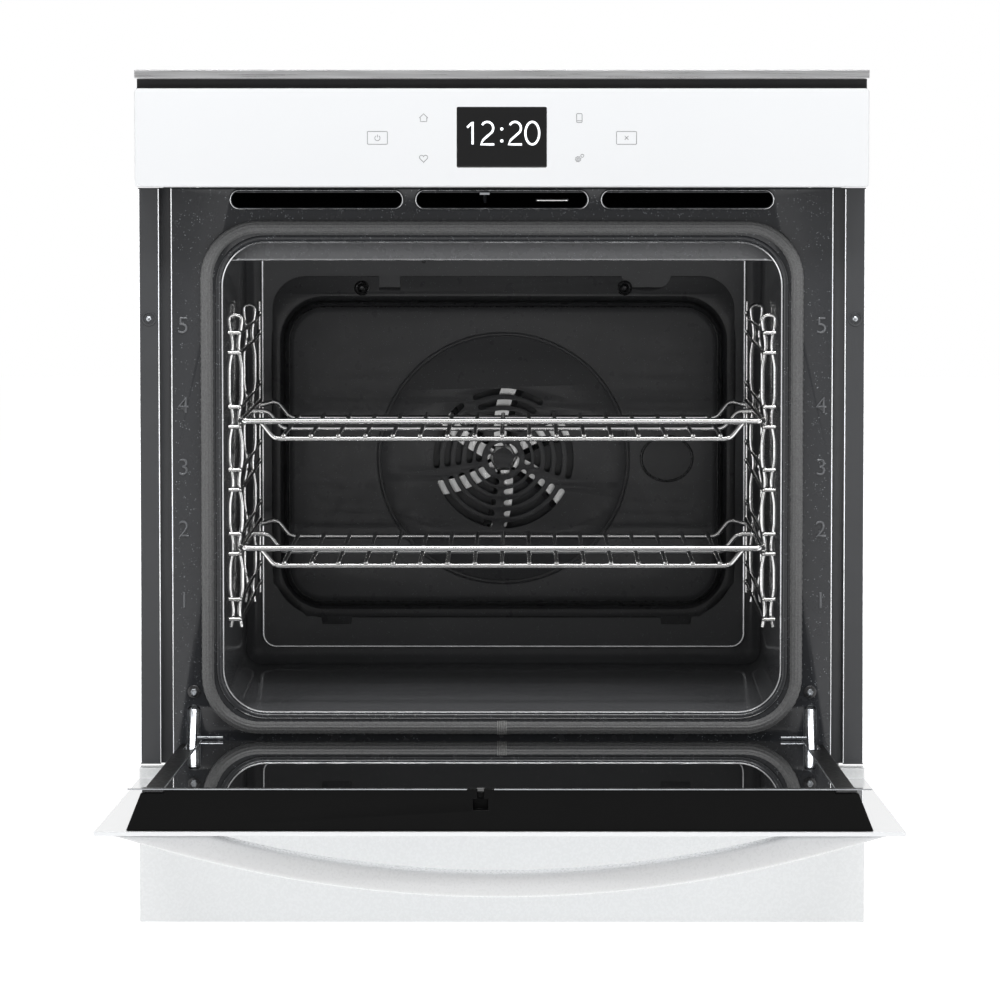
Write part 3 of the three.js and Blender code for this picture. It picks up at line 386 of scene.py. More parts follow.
def mouth_fold():
    """Edge of the mouth: a quarter round from the face, then straight back, one sheet thick."""
    bend = np.linspace(0, np.pi / 2, 6)
    front = frame_face - 0.0006
    outer = [(FOLD_BEND * (1 - np.sin(a)), front + FOLD_BEND * (1 - np.cos(a))) for a in bend]
    inner = [(0, 0.0135), (0.0011, 0.0135), (0.0011, 0.0034), (0.0048, 0.0006)]
    grid = carried(mouth_outline(2), [(0.0052, frame_face - 0.0003), *outer, *inner])
    solid("mouth_fold", [(grid, True)], front_enamel)


VENT_TOP = 0.601
VENT_BOTTOM = 0.588
VENT_HALF = 0.0695
VENT_RADIUS = 0.0063
VENT_PITCH = 0.1518


def air_slots():
    """Raised rim of each slot: a half round on the face that turns in and back."""
    bend = np.linspace(0, np.pi, 7)
    rim = [(0.001 + 0.001 * np.cos(a), frame_face - 0.0012 * np.sin(a)) for a in bend]
    profile = [*rim, (0, 0.009), (0.0008, 0.009), (0.0022, frame_face + 0.0008)]
    grids = []
    for k in (-1, 0, 1):
        outline = rounded(VENT_HALF, VENT_BOTTOM, VENT_TOP, VENT_RADIUS, 9)
        grid = carried(outline, profile) + (k * VENT_PITCH, 0, 0)
        grids.append((grid, True))
    solid("air_slot_rims", grids, front_enamel)


def upright_mesh(curve, place):
    """The mesh of a flat curve, stood up to face forwards at a place."""
    draft = bpy.data.objects.new(curve.name + "_draft", curve)
    bpy.context.scene.collection.objects.link(draft)
    view = bpy.context.evaluated_depsgraph_get()
    mesh = bpy.data.meshes.new_from_object(draft.evaluated_get(view))
    bpy.data.objects.remove(draft)
    mesh.transform(Matrix.Translation(place) @ Matrix.Rotation(math.pi / 2, 4, "X"))
    return mesh


def cutout(name, outlines, front, thickness, ease, finish, stands_for=()):
    """A sheet that stands across the oven: its first outline of x and z is the edge, the others are holes."""
    curve = bpy.data.curves.new(name, "CURVE")
    curve.dimensions = "2D"
    curve.fill_mode = "BOTH"
    curve.extrude = thickness / 2 - ease
    curve.bevel_depth = ease
    curve.bevel_resolution = 1
    curve.offset = -ease
    for number, outline in enumerate(outlines):
        points = np.array(outline, float)
        following = np.roll(points, -1, axis=0)
        area = (points[:, 0] * following[:, 1] - following[:, 0] * points[:, 1]).sum()
        if (area > 0) == (number > 0):
            points = points[::-1]
        spline = curve.splines.new("POLY")
        spline.points.add(len(points) - 1)
        level = 0 * points[:, 0]
        spline.points.foreach_set("co", np.column_stack([points, level, level + 1]).ravel())
        spline.use_cyclic_u = True
    mesh = upright_mesh(curve, (0, front + thickness / 2, 0))
    finished(name, mesh, finish, stands_for, smooth=35)


HINGE_X = 0.2538
HINGE_SLOT_BOTTOM = 0.1335
HINGE_SLOT_TOP = 0.1785
SHEET = 0.0012
EDGE_BEND = 0.0016


def frame_sheet():
    """The flat face with its mouth, air slots and hinge slots cut out, and the folds along its outer edge."""
    low, high = frame_low, frame_high
    openings = [(liner_half + 0.0018, cavity_floor - 0.0018, cavity_ceiling + 0.0018, 0.0388, 0)]
    for k in (-1, 0, 1):
        openings.append((VENT_HALF + 0.0014, VENT_BOTTOM - 0.0014, VENT_TOP + 0.0014, 0.0076, k * VENT_PITCH))
    for x in (-HINGE_X, HINGE_X):
        openings.append((0.0053, HINGE_SLOT_BOTTOM, HINGE_SLOT_TOP, 0.005, x))
    outlines = []
    for half, bottom, top, radius, x in [(high.x, low.z, high.z, EDGE_BEND, 0), *openings]:
        centres, ways, corner = rounded(half, bottom, top, radius, 14)
        outlines.append(centres + ways * corner + (x, 0))
    cutout("frame_sheet", outlines, low.y, SHEET, 0.0002, front_enamel, ("front_frame",))
    bend = np.linspace(0, np.pi / 2, 5)
    fold = [(EDGE_BEND * (np.sin(a) - 1), low.y + EDGE_BEND * (1 - np.cos(a))) for a in bend]
    inner = [(0, high.y), (-SHEET, high.y), (-SHEET, low.y + EDGE_BEND), (-0.004, low.y + 0.001)]
    outline = rounded(high.x, low.z, high.z, EDGE_BEND, 6)
    grid = carried(outline, [(-0.004, low.y + 0.0001), *fold, *inner])
    solid("frame_folds", [(grid, True)], front_enamel)


ACROSS = (0, 1, 0)


def wire(path, radius, up=(0, 0, 1), sides=14, closed=False, tip=0.6):
    """A round wire along a flat path: circles square to the path's direction, which is square to up.
    Over the last three rings at each end the radius falls away, so the tips are rounded."""
    path = np.array(path, float)
    if closed:
        along = np.roll(path, -1, axis=0) - np.roll(path, 1, axis=0)
        size = np.full(len(path), radius)
    else:
        along = np.gradient(path, axis=0)
        ways = along[[0, -1]] / np.linalg.norm(along[[0, -1]], axis=1)[:, None]
        curl = np.array([0.35, 0.75, 1.0])
        pull = tip * radius * (1 - np.sqrt(1 - (1 - curl) ** 2))
        before = path[0] + ways[0] * pull[:, None]
        beyond = path[-1] - ways[1] * pull[::-1, None]
        path = np.concatenate([before, path[1:-1], beyond])
        along = np.concatenate([np.tile(ways[0], (3, 1)), along[1:-1], np.tile(ways[1], (3, 1))])
        size = np.concatenate([radius * curl, np.full(len(path) - 6, radius), radius * curl[::-1]])
    along = along / np.linalg.norm(along, axis=1)[:, None]
    side = np.cross(along, up)
    side = side / np.linalg.norm(side, axis=1)[:, None]
    over = np.cross(side, along)
    turn = np.linspace(0, 2 * np.pi, sides, endpoint=False)
    rings = side[:, None] * np.cos(turn)[None, :, None] + over[:, None] * np.sin(turn)[None, :, None]
    return path[:, None, :] + rings * size[:, None, None], closed


# A bright metal used only for slim beads that paint highlight lines along edges, folds and corners.
def bare_edge():
    finish = Finish("highlight bead metal", Metallic=1.0)
    finish.colour(finish.grain(40, 4, (1, 1, 0.2)), (0.8, 0.81, 0.83), (0.95, 0.96, 0.97))
    finish.roughness(finish.grain(90, 3), 0.14, 0.26)
    return finish


highlight_metal = bare_edge()


def bead(outline, out, y, radius, sides=8):
    """A slim round line that follows an outline at this distance out from it."""
    turn = np.linspace(0, 2 * np.pi, sides, endpoint=False)
    profile = np.stack([out + radius * np.cos(turn), y + radius * np.sin(turn)], axis=-1)
    return carried(outline, profile), True


def mouth_and_slot_lines():
    """Painted highlights along the edge of the mouth and of each air slot: slim bright metal beads where the
    sheet is folded.
    """
    grids = [bead(mouth_outline(8), 0.0001, 0.006, 0.0013)]
    for k in (-1, 0, 1):
        slot = rounded(VENT_HALF, VENT_BOTTOM, VENT_TOP, VENT_RADIUS, 9, 4)
        grid, closed = bead(slot, 0.001, frame_face - 0.0011, 0.0004)
        grids.append((grid + (k * VENT_PITCH, 0, 0), closed))
    solid("mouth_and_slot_lines", grids, highlight_metal)


def folded_edges():
    """Painted highlights down the sides, on the folds of the frame and the flanges: a slim bright metal bead
    along each.
    """
    grids = []
    low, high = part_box("mounting_flange_right")
    for half, y, bottom, top, radius in [
        (frame_high.x - 0.0008, frame_face - 0.0001, 0.1305, 0.6035, 0.0005),
        (high.x - 0.0165, low.y - 0.0001, low.z + 0.001, high.z - 0.001, 0.0005),
        (high.x - 0.0006, low.y - 0.0001, low.z + 0.001, high.z - 0.001, 0.0006),
    ]:
        for x in (-half, half):
            line = [(x, y, z) for z in (bottom, (bottom + top) / 2, top)]
            grids.append(wire(line, radius, up=ACROSS, sides=8))
    solid("folded_edges", grids, highlight_metal)


def duct_lip():
    """A black sheet that slopes up behind the air slots and leads the air over it. Its near-black colour is
    painted shade, the darkness seen through the slots.
    """
    profile = np.array([(0.044, 0.5865), (0.045, 0.5865), (0.075, 0.6035), (0.074, 0.6035)])
    half = 1.5 * VENT_PITCH + 0.004
    ends = [np.insert(profile, 0, x, axis=1) for x in (-half, 0, half)]
    finish = Finish("slot shade black", Specular_IOR_Level=0.1)
    finish.colour(finish.grain(80, 3), (0.002, 0.002, 0.002), (0.006, 0.006, 0.006))
    finish.roughness(finish.grain(200, 3), 0.6, 0.8)
    solid("duct_lip", [(np.stack(ends), False)], finish)


mouth_fold()
air_slots()
frame_sheet()
mouth_and_slot_lines()
folded_edges()
duct_lip()

NUMBER_RISE = (0.2647, 0.3233, 0.3743, 0.4253, 0.4909)
NUMBER_EASE = 0.0009


def level_numbers():
    """The five rack levels, raised in the enamel beside the mouth. Their enamel is paler than the frame's, a
    painted highlight on the raised figures.
    """
    raised = enamel("number enamel paled for highlights", (0.15, 0.155, 0.165), 0.9, 0.16)
    for side, x in (("left", -0.2614), ("right", 0.262)):
        for level, z in enumerate(NUMBER_RISE, 1):
            name = f"level_{level}_{side}"
            figure = bpy.data.curves.new(name, "FONT")
            figure.body = str(level)
            figure.size = 0.0195
            figure.extrude = 0.0002
            figure.offset = -NUMBER_EASE
            figure.bevel_depth = NUMBER_EASE
            figure.bevel_resolution = 2
            figure.align_x = "CENTER"
            figure.align_y = "CENTER"
            mesh = upright_mesh(figure, (x, frame_face - 0.0001, z))
            finished(name, mesh, raised, smooth=30)


level_numbers()

# ---------- Door seal ----------
# A rope of braided glass fibre round the mouth, held by hooks behind the frame.
# Its braid is two sets of strands that wind round it in opposite ways.


def glass_braid():
    finish = Finish("glass braid", Roughness=0.48, Specular_IOR_Level=0.6)
    finish.shader.inputs["Sheen Weight"].default_value = 0.3
    finish.shader.inputs["Sheen Roughness"].default_value = 0.35
    fibre = finish.grain(900, 4)
    tone = finish.tones(fibre, (0.03, 0.0305, 0.031), (0.2, 0.202, 0.204))
    baked = finish.span(finish.grain(11, 2), 0.5, 0.8, 0, 0.4)
    finish.paint("Base Color", finish.spots(tone, baked, (0.085, 0.086, 0.087)))
    finish.relief(fibre, 0.0004)
    return finish


SEAL_INSET = 0.00535
SEAL_HALF_WIDTH = 0.0052
STRAND_PITCH = 0.0052


def door_seal():
    """A flattened tube round the mouth. Its surface rises where either of
    two crossing sets of strands passes, and in eleven fine ribs that follow the tube."""
    low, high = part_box("door_gasket")
    half_depth = (high.y - low.y) / 2
    half, bottom, top = high.x - SEAL_INSET, low.z + SEAL_INSET, high.z - SEAL_INSET
    centres, ways, radius = rounded(half, bottom, top, 0.0425, 60, 330)
    path = centres + ways * radius
    step = np.linalg.norm(np.roll(path, -1, axis=0) - path, axis=1)
    along = np.concatenate([[0], np.cumsum(step)[:-1]])[:, None]
    around = np.linspace(0, 2 * np.pi, 44, endpoint=False)[None, :]
    turns = 2 * np.pi * np.round(step.sum() / STRAND_PITCH) / step.sum()
    weave = np.maximum(np.sin(turns * along + 3 * around), np.sin(turns * along - 3 * around))
    swell = 0.91 + 0.03 * weave + 0.06 * np.cos(11 * around)
    out = radius + SEAL_HALF_WIDTH * swell * np.cos(around)
    flat = centres[:, None, :] + ways[:, None, :] * out[..., None]
    depth = (low.y + high.y) / 2 + half_depth * swell * np.sin(around)
    grid = np.stack([flat[..., 0], depth, flat[..., 1]], axis=-1)
    solid("braided_seal", [(grid, True)], glass_braid(), ("door_gasket",), smooth=80)


door_seal()


def seal_joint():
    """The stitched join of the rope at the middle of its lower run: a row of small raised loops."""
    low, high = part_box("door_gasket")
    turn = np.linspace(0, 2 * np.pi, 16, endpoint=False)[:, None]
    ring = np.linspace(0, 2 * np.pi, 8, endpoint=False)[None, :]
    grids = []
    for k in range(5):
        out = 1 + 0.1 * np.cos(ring)
        z = low.z + SEAL_INSET + 0.0053 * out * np.cos(turn)
        y = (low.y + high.y) / 2 + 0.0036 * out * np.sin(turn)
        x = 0.0005 * np.sin(ring) + (k - 2) * 0.0017 + 0 * turn
        grids.append((np.stack([x, y, z], axis=-1), True))
    thread = Finish("seal thread", Roughness=0.7)
    thread.colour(thread.grain(700, 2), (0.12, 0.12, 0.118), (0.42, 0.42, 0.41))
    solid("seal_joint", grids, thread)


seal_joint()

# ---------- Hinges ----------
# Zinc-plated steel. The fixed arm hooks into a pocket behind the frame, and the door turns on its pin.
# A hexagon bolt above each slot holds the pocket.
for side in ("left", "right"):
    dress(zinc, "hinge_receiver_" + side, "hinge_carrier_" + side)
    eased("hinge_arm_" + side, zinc, 0.0006)


def receiver_faces():
    """The pressed face of each hinge pocket behind its slot: a knurled plate with round ends."""
    finish = Finish("knurled zinc", Metallic=1.0)
    knurl = finish.cells(900)
    finish.colour(finish.span(knurl, 0.1, 0.5, 0, 1), (0.5, 0.51, 0.52), (0.22, 0.225, 0.23))
    finish.paint("Roughness", finish.span(knurl, 0.1, 0.6, 0.3, 0.5))
    finish.relief(knurl, 0.0003)
    for side, x in (("left", -HINGE_X), ("right", HINGE_X)):
        outline = rounded(0.0049, HINGE_SLOT_BOTTOM + 0.001, HINGE_SLOT_TOP - 0.001, 0.0048, 10)
        grid = carried(outline, [(-0.0006, 0.0036), (0, 0.0041), (0, 0.0052)]) + (x, 0, 0)
        solid("hinge_receiver_face_" + side, [(grid.swapaxes(0, 1), False)], finish)


receiver_faces()


def dark_plate():
    finish = Finish("dark plate", Metallic=0.75)
    finish.colour(finish.grain(300, 3), (0.03, 0.03, 0.031), (0.1, 0.1, 0.102))
    finish.roughness(finish.grain(500, 3), 0.2, 0.4)
    return finish


blackened = dark_plate()


def hinge_bolts():
    """A turned washer with a six-sided head on it and a dished middle."""
    flats = [(0.0027, 0), (0.0029, -0.0014), (0.0022, -0.002), (0.0015, -0.002)]
    head = [*flats, (0.0011, -0.0012), (0.0002, -0.0012)]
    washer = [(0.0052, 0.0002), (0.0052, -0.0005), (0.0048, -0.0008), (0.0002, -0.0008)]
    for side in ("left", "right"):
        low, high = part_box("hinge_bolt_" + side)
        place = ((low.x + high.x) / 2, high.y - 0.0002, (low.z + high.z) / 2)
        solid("hinge_bolt_washer_" + side, [(turned(washer) + place, False)], blackened)
        bolt = [(turned(head, 6) + place, False)]
        solid("hinge_bolt_head_" + side, bolt, zinc, ("hinge_bolt_" + side,), smooth=25)


hinge_bolts()

# ---------- Cavity ----------
# One pressed box under the same kind of enamel as the frame, fired greyer and glossier.
# Its walls are never quite flat, so reflections in them are drawn out and bent.


def cavity_enamel():
    finish = enamel("cavity enamel", (0.15, 0.153, 0.16), 0.5, 0.09, 0.2)
    finish.relief(finish.grain(22, 2), 0.0005)
    return finish


dark_enamel = cavity_enamel()
cover_enamel = enamel("cover enamel", (0.115, 0.116, 0.121), 0.6, 0.26, 0.36)


WALL = 0.0014
BACK_BEND = 0.013
LIP_BEND = 0.0015


def liner():
    """A lip on the frame, then the walls, carried round the mouth and closed by the rounded back.
    The inner and the outer sheet are two grids, joined round the lip's edge."""
    front = liner_low.y
    bend = np.linspace(0, np.pi / 2, 8)
    lip = [(LIP_BEND * (1 - np.sin(a)), front + LIP_BEND * (1 - np.cos(a))) for a in bend]
    turn = [(-BACK_BEND * (1 - np.cos(a)), cavity_back - BACK_BEND * (1 - np.sin(a))) for a in bend]
    outer = BACK_BEND + WALL
    rear = cavity_back + WALL
    behind = [(WALL - outer * (1 - np.cos(a)), rear - outer * (1 - np.sin(a))) for a in bend[::-1]]
    outline = rounded(liner_half, cavity_floor, cavity_ceiling, 0.014, 12)
    inside = carried(outline, [(LINER_LIP, front + 0.0012), (LINER_LIP, front), *lip, *turn])
    outside = carried(outline, [*behind, (WALL, front + 0.0012)])
    count, inner_rings = inside.shape[:2]
    outer_rings = outside.shape[1]
    start = count * inner_rings
    faces = lattice(inside, True) + lattice(outside, True, first_index=start)
    faces.append([k * inner_rings + inner_rings - 1 for k in range(count)])
    faces.append([start + k * outer_rings for k in range(count)])
    near = np.arange(count)
    after = (near + 1) % count
    corners = [near * inner_rings, after * inner_rings]
    corners += [start + (after + 1) * outer_rings - 1, start + (near + 1) * outer_rings - 1]
    faces += np.stack(corners, axis=-1).tolist()
    mesh = bpy.data.meshes.new("cavity_walls")
    mesh.from_pydata([*inside.reshape(-1, 3).tolist(), *outside.reshape(-1, 3).tolist()], [], faces)
    finished("cavity_walls", mesh, dark_enamel, ("cavity_liner",))


liner()


def back_seam():
    """A painted highlight along the back's corner bend: a slim round bright line just inside the corner bend.
    """
    outline = rounded(liner_half - 0.0145, cavity_floor + 0.0145, cavity_ceiling - 0.0145, 0.012, 8, 8)
    solid("back_seam", [bead(outline, 0, cavity_back - 0.0003, 0.0014)], highlight_metal)


back_seam()


def ceiling_baffle():
    """A bent strip across the ceiling, with a straight rounded lower edge and round upper corners.
    Each section rises from the edge to the top by a share from 0 to 1, and leans back as it rises."""
    low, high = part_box("ceiling_baffle")
    half = liner_half - 0.0012
    across = half * np.sin(np.linspace(-1, 1, 81) * np.pi / 2)[:, None]
    corner = 0.032
    over = np.clip(np.abs(across) - (half - corner), 0, None)
    top = high.z - (corner - np.sqrt(corner**2 - np.minimum(over, corner) ** 2)) * 0.8
    edge = low.z + 0.0015
    bend = np.linspace(0, np.pi, 7)
    round_edge = [(0.0012 * (1 - np.cos(a)), -0.012 * np.sin(a)) for a in bend]
    section = np.array([(0, 1), (0, 0.02), *round_edge, (0.0024, 0.02), (0.0024, 1)])
    rise = section[:, 1][None, :]
    y = low.y + 0.004 + section[:, 0][None, :] + 0.006 * np.clip(rise, 0, 1) + 0 * across
    z = np.where(rise > 0, edge + rise * (top - edge), edge + 0.1 * rise)
    grid = np.stack([across + 0 * y, y, z], axis=-1)
    finish = enamel("baffle enamel", (0.19, 0.193, 0.2), 0.9, 0.22)
    solid("ceiling_baffle_strip", [(grid, False)], finish, ("ceiling_baffle",))
    # Two slim bright lines, along the lower edge and along the crest, are painted highlights.
    lower = [(k * half, low.y + 0.0045, low.z + 0.0013) for k in (-0.999, 0, 0.999)]
    crest = np.concatenate([across, 0 * across + low.y + 0.0092, top - 0.0075], axis=1)
    crest = crest[crest[:, 2] > low.z + 0.003]
    lines = [wire(lower, 0.001, up=ACROSS, sides=8), wire(crest, 0.0006, up=ACROSS, sides=8)]
    solid("ceiling_baffle_highlights", lines, highlight_metal)


ceiling_baffle()


def black_oxide():
    finish = Finish("black oxide", Metallic=0.3)
    finish.colour(finish.grain(120, 4), (0.014, 0.014, 0.015), (0.05, 0.048, 0.045))
    finish.roughness(finish.grain(300, 3), 0.35, 0.55)
    finish.relief(finish.grain(1500, 3), 0.00005)
    return finish


element_skin = black_oxide()


def bends(corners, radius, steps=6):
    """Straight runs between corners, with a curve of this radius at each inner corner."""
    corners = np.array(corners, float)
    path = [corners[:1]]
    share = np.linspace(0, 1, steps)[:, None]
    for before, here, after in zip(corners[:-2], corners[1:-1], corners[2:]):
        start = here + (before - here) * (radius / np.linalg.norm(before - here))
        end = here + (after - here) * (radius / np.linalg.norm(after - here))
        path.append((1 - share) ** 2 * start + 2 * share * (1 - share) * here + share**2 * end)
    path.append(corners[-1:])
    return np.concatenate(path)


def heating_elements():
    """Rods bent into four passes above and below the cavity, and into a ring round the fan."""
    for name in ("broil_element", "bake_element"):
        low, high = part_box(name)
        radius = (high.z - low.z) / 2
        side = high.x - radius
        height = (low.z + high.z) / 2
        front = low.y + radius
        back = high.y - 0.03
        near = side / 3
        left = [(-side, high.y), (-side, front), (-near, front), (-near, back)]
        right = [(-x, y) for x, y in left[::-1]]
        path = bends([(x, y, height) for x, y in left + right], 0.014, 8)
        solid(name + "_rod", [wire(path, radius * 1.05)], element_skin, (name,))
    low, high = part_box("ring_element")
    thick = 0.0032
    radius = (high.x - low.x) / 2 - thick
    turn = np.linspace(0.16, 2 * np.pi - 0.16, 72)
    x = (high.x + low.x) / 2 + radius * np.sin(turn)
    z = high.z - thick - radius - radius * np.cos(turn)
    path = np.stack([x, 0 * turn + (low.y + high.y) / 2, z], axis=-1)
    rod = wire(path, thick, up=ACROSS)
    solid("ring_element_rod", [rod], element_skin, ("ring_element",))


heating_elements()
dress(blackened, "temperature_probe")

# ---------- Fan, and the cover that hides it ----------
# The wheel is pressed aluminised steel. The cover is enamelled sheet with a deep raised field,
# a shallow round step about the grille, and a grille of curved slots in five groups.


def pressed_steel():
    finish = Finish("pressed steel", Metallic=1.0, Anisotropic=0.4)
    finish.colour(finish.grain(45, 4), (0.62, 0.62, 0.62), (0.88, 0.88, 0.87))
    finish.roughness(finish.grain(400, 3, (1, 1, 0.1)), 0.24, 0.42)
    finish.relief(finish.grain(30, 2), 0.0005)
    return finish


fan_steel = pressed_steel()
dress(fan_steel, "cooling_fan")


def fan_wheel():
    """Six paddles on a turned hub. Each is a strip swept back as it runs out, with one edge bent forwards."""
    low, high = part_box("convection_fan")
    centre = np.array([(low.x + high.x) / 2, 0, (low.z + high.z) / 2])
    reach = (high.x - low.x) / 2 - 0.001
    face = low.y + 0.001
    out = np.linspace(0.011, reach, 14)[:, None]
    across = np.array([-1, -0.7, -0.45, -0.35, 0, 0.5, 1])[None, :]
    half = 0.0072 + 0.0032 * (out / reach)
    depth = face + 0.019 * np.clip(-0.4 - across, 0, 0.6) * (0.4 + 0.6 * out / reach)
    spin = -0.22 * (out / reach) ** 2
    grids = []
    for k in range(6):
        angle = math.radians(92 - 60 * k) + spin
        x = out * np.cos(angle) - half * across * np.sin(angle)
        z = out * np.sin(angle) + half * across * np.cos(angle)
        front = np.stack([x, depth, z], axis=-1)
        rear = front + (0, 0.0009, 0)
        ring = np.concatenate([front, rear[:, ::-1]], axis=1) + centre
        grids.append((ring, False))
    dish = [(0.0005, 0.0125), (0.016, 0.0125), (0.0165, 0.0085), (0.0125, 0.0035)]
    hub = [*dish, (0.0062, 0.002), (0.006, -0.001), (0.0005, -0.001)]
    grids.append((turned(hub, 36) + centre + (0, face + 0.001, 0), False))
    wheel = ("convection_fan",)
    solid("convection_fan_wheel", grids, fan_steel, wheel, "convection_fan", 30)


fan_wheel()

cover_low, cover_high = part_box("fan_cover")
fan_low, fan_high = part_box("convection_fan")
fan_height = (fan_low.z + fan_high.z) / 2
cover_half = cover_high.x - 0.011
cover_top = cover_high.z - 0.022
cover_bottom = cover_low.z + 0.011
COVER_RADIUS = 0.036
STEP_RADIUS = 0.1109


def arc_slot(radius, width, start, end):
    """Outline of a slot that follows a circle and has round ends."""
    r = width / 2
    sweep = np.linspace(start, end, 16)
    cap = np.linspace(0, np.pi, 7)[1:-1]
    outer = np.stack([np.cos(sweep), np.sin(sweep)], axis=-1) * (radius + r)
    inner = np.stack([np.cos(sweep[::-1]), np.sin(sweep[::-1])], axis=-1) * (radius - r)
    tips = []
    for angle, way in ((end, 1), (start, -1)):
        centre = np.array([np.cos(angle), np.sin(angle)]) * radius
        tilt = angle + (0 if way > 0 else np.pi)
        tips.append(centre + r * np.stack([np.cos(tilt + cap), np.sin(tilt + cap)], axis=-1))
    return np.concatenate([outer, tips[0], inner, tips[1]])


def grille():
    """The disc inside the step, with five rings of slots in five groups round five short ones."""
    turn = np.linspace(0, 2 * np.pi, 96, endpoint=False)
    edge = np.stack([np.cos(turn), np.sin(turn)], axis=-1) * (STEP_RADIUS - 0.0012)
    holes = []
    for radius in (0.022, 0.0304, 0.0403, 0.0501, 0.06):
        spoke = 0.0032 / radius + 0.075
        for k in range(5):
            middle = np.radians(85.5 + 72 * k)
            reach = np.pi / 5 - spoke
            holes.append(arc_slot(radius, 0.0055, middle - reach, middle + reach))
    for k in range(5):
        middle = np.radians(121.5 + 72 * k)
        holes.append(arc_slot(0.0118, 0.0052, middle - 0.34, middle + 0.34))
    centre = (0, fan_height)
    outlines = [edge + centre, *(hole + centre for hole in holes)]
    cutout("fan_grille", outlines, cover_low.y, 0.001, 0.0003, cover_enamel)


def cover_field():
    """The raised field: a wall comes forward round its outline, and its face runs in to the round step."""
    face = cover_low.y
    flange = cover_high.y
    thick = 0.001
    bend = np.linspace(0, np.pi / 2, 7)
    inner_bend, outer_bend = 0.006, 0.009
    foot = [(inner_bend * (1 - np.sin(a)), flange - thick - inner_bend * (1 - np.cos(a))) for a in bend]
    brow = [(outer_bend * (np.cos(a) - 1) - 0.001, face + outer_bend * (1 - np.sin(a))) for a in bend]
    outline = rounded(cover_half, cover_bottom, cover_top, COVER_RADIUS, 16, 44)
    wall = carried(outline, [(0.012, flange - thick), *foot, *brow])
    rim = wall[:, -1]
    angle = np.arctan2(rim[:, 2] - fan_height, rim[:, 0])

    def circle(radius, depth):
        x = radius * np.cos(angle)
        return np.stack([x, 0 * x + face + depth, fan_height + radius * np.sin(angle)], axis=-1)

    rings = [(1 - share) * rim + share * circle(1.03 * STEP_RADIUS, 0) for share in (0.35, 0.7)]
    groove = [(0.0024, 0), (0.0019, -0.0005), (0.0013, -0.0002), (0.0007, 0.0018)]
    groove += [(-0.0007, 0.0018), (-0.0012, 0), (-0.0018, 0)]
    rings += [circle(STEP_RADIUS + out, depth) for out, depth in groove]
    sheet = np.concatenate([wall, np.stack(rings, axis=1)], axis=1)
    mesh = bpy.data.meshes.new("cover_field")
    mesh.from_pydata(sheet.reshape(-1, 3).tolist(), [], lattice(sheet, True))
    piece = finished("cover_field", mesh, cover_enamel, ("fan_cover",))
    way = piece.data.polygons[len(piece.data.polygons) // 2].normal.y
    wall_thickness = piece.modifiers.new("sheet", "SOLIDIFY")
    wall_thickness.thickness = thick
    wall_thickness.offset = -1 if way < 0 else 1


CORNER_CUT = 0.03


def cover_flange():
    """The flat edge of the cover against the liner's back. On top it has a notch and a round scallop,
    and two tongues hang below it. The corners are round above and cut straight below."""
    half, top, low = cover_high.x, cover_high.z, cover_low.z
    scallop = np.linspace(np.pi, 2 * np.pi, 14)
    dip = np.stack([0.128 + 0.022 * np.cos(scallop), top + 0.013 * np.sin(scallop)], axis=-1)
    corner = np.linspace(0, np.pi / 2, 10)
    inset = half - CORNER_CUT + CORNER_CUT * np.sin(corner)
    right = np.stack([inset, top - CORNER_CUT + CORNER_CUT * np.cos(corner)], axis=-1)
    edge = [(-half, low + CORNER_CUT), *(right * (-1, 1))[::-1].tolist()]
    edge += [(-0.1115, top), (-0.1115, top - 0.0125), (-0.0925, top - 0.0125), (-0.0925, top)]
    edge += [*dip.tolist(), *right.tolist(), (half, low + CORNER_CUT), (half - CORNER_CUT, low)]
    for x in (0.155, -0.15):
        edge += [(x + 0.014, low), (x + 0.013, low - 0.007), (x - 0.013, low - 0.007), (x - 0.014, low)]
    edge += [(-half + CORNER_CUT, low)]
    centres, ways, radius = rounded(cover_half, cover_bottom, cover_top, COVER_RADIUS, 12)
    hole = centres + ways * (radius + 0.004)
    front = cover_high.y - SHEET
    cutout("cover_flange", [edge, hole], front, SHEET, 0.0003, cover_enamel)


def field_line():
    """A slim dark metal bead where the field's face turns over into its wall: a painted highlight, its shine
    stands for the light caught on that brow.
    """
    outline = rounded(cover_half, cover_bottom, cover_top, COVER_RADIUS, 16, 12)
    line = bead(outline, -0.0045, cover_low.y + 0.0012, 0.0005)
    solid("cover_brow_highlight", [line], blackened)


field_line()
grille()
cover_field()
cover_flange()


def cover_screws():
    """Two turned heads on dished washers, in the cover's top flange."""
    washer = [(0.0068, 0), (0.0066, -0.0008), (0.0056, -0.0012), (0.0046, -0.0005), (0.0002, -0.0005)]
    grids = []
    for x in (-0.127, 0.1085):
        place = (x, cover_high.y - SHEET, cover_high.z - 0.0105)
        grids += [(turned(shape) + place, False) for shape in (washer, pan_head(0.0042, 0.0026))]
    solid("cover_screws", grids, blackened)


cover_screws()


def smoked_glass():
    finish = Finish("smoked glass", Roughness=0.3, IOR=1.5, Specular_IOR_Level=0.35)
    finish.colour(finish.grain(200, 2), (0.105, 0.106, 0.11), (0.12, 0.121, 0.125))
    return finish


def lamp():
    """A pressed lens: a shallow turned dome within a raised ring, a little wider than it is high."""
    low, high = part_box("lamp_lens")
    place = np.array([(low.x + high.x) / 2, cover_low.y, (low.z + high.z) / 2])
    oval = (1.06, 1, 0.94)
    dome = [(0.0195, 0.0005), (0.0195, -0.0002), (0.012, -0.0006), (0.0003, -0.0008)]
    bend = np.linspace(0, np.pi, 9)
    ring = [(0.0215 + 0.0013 * np.cos(a), 0.0003 - 0.0011 * np.sin(a)) for a in bend]
    ring += [(0.0202, 0.0008), (0.0228, 0.0008)]
    lens = [(turned(dome, 48) * oval + place, False)]
    solid("lamp_glass", lens, smoked_glass(), ("lamp_lens",))
    solid("lamp_ring", [(turned(ring, 48) * oval + place, True)], blackened)


lamp()


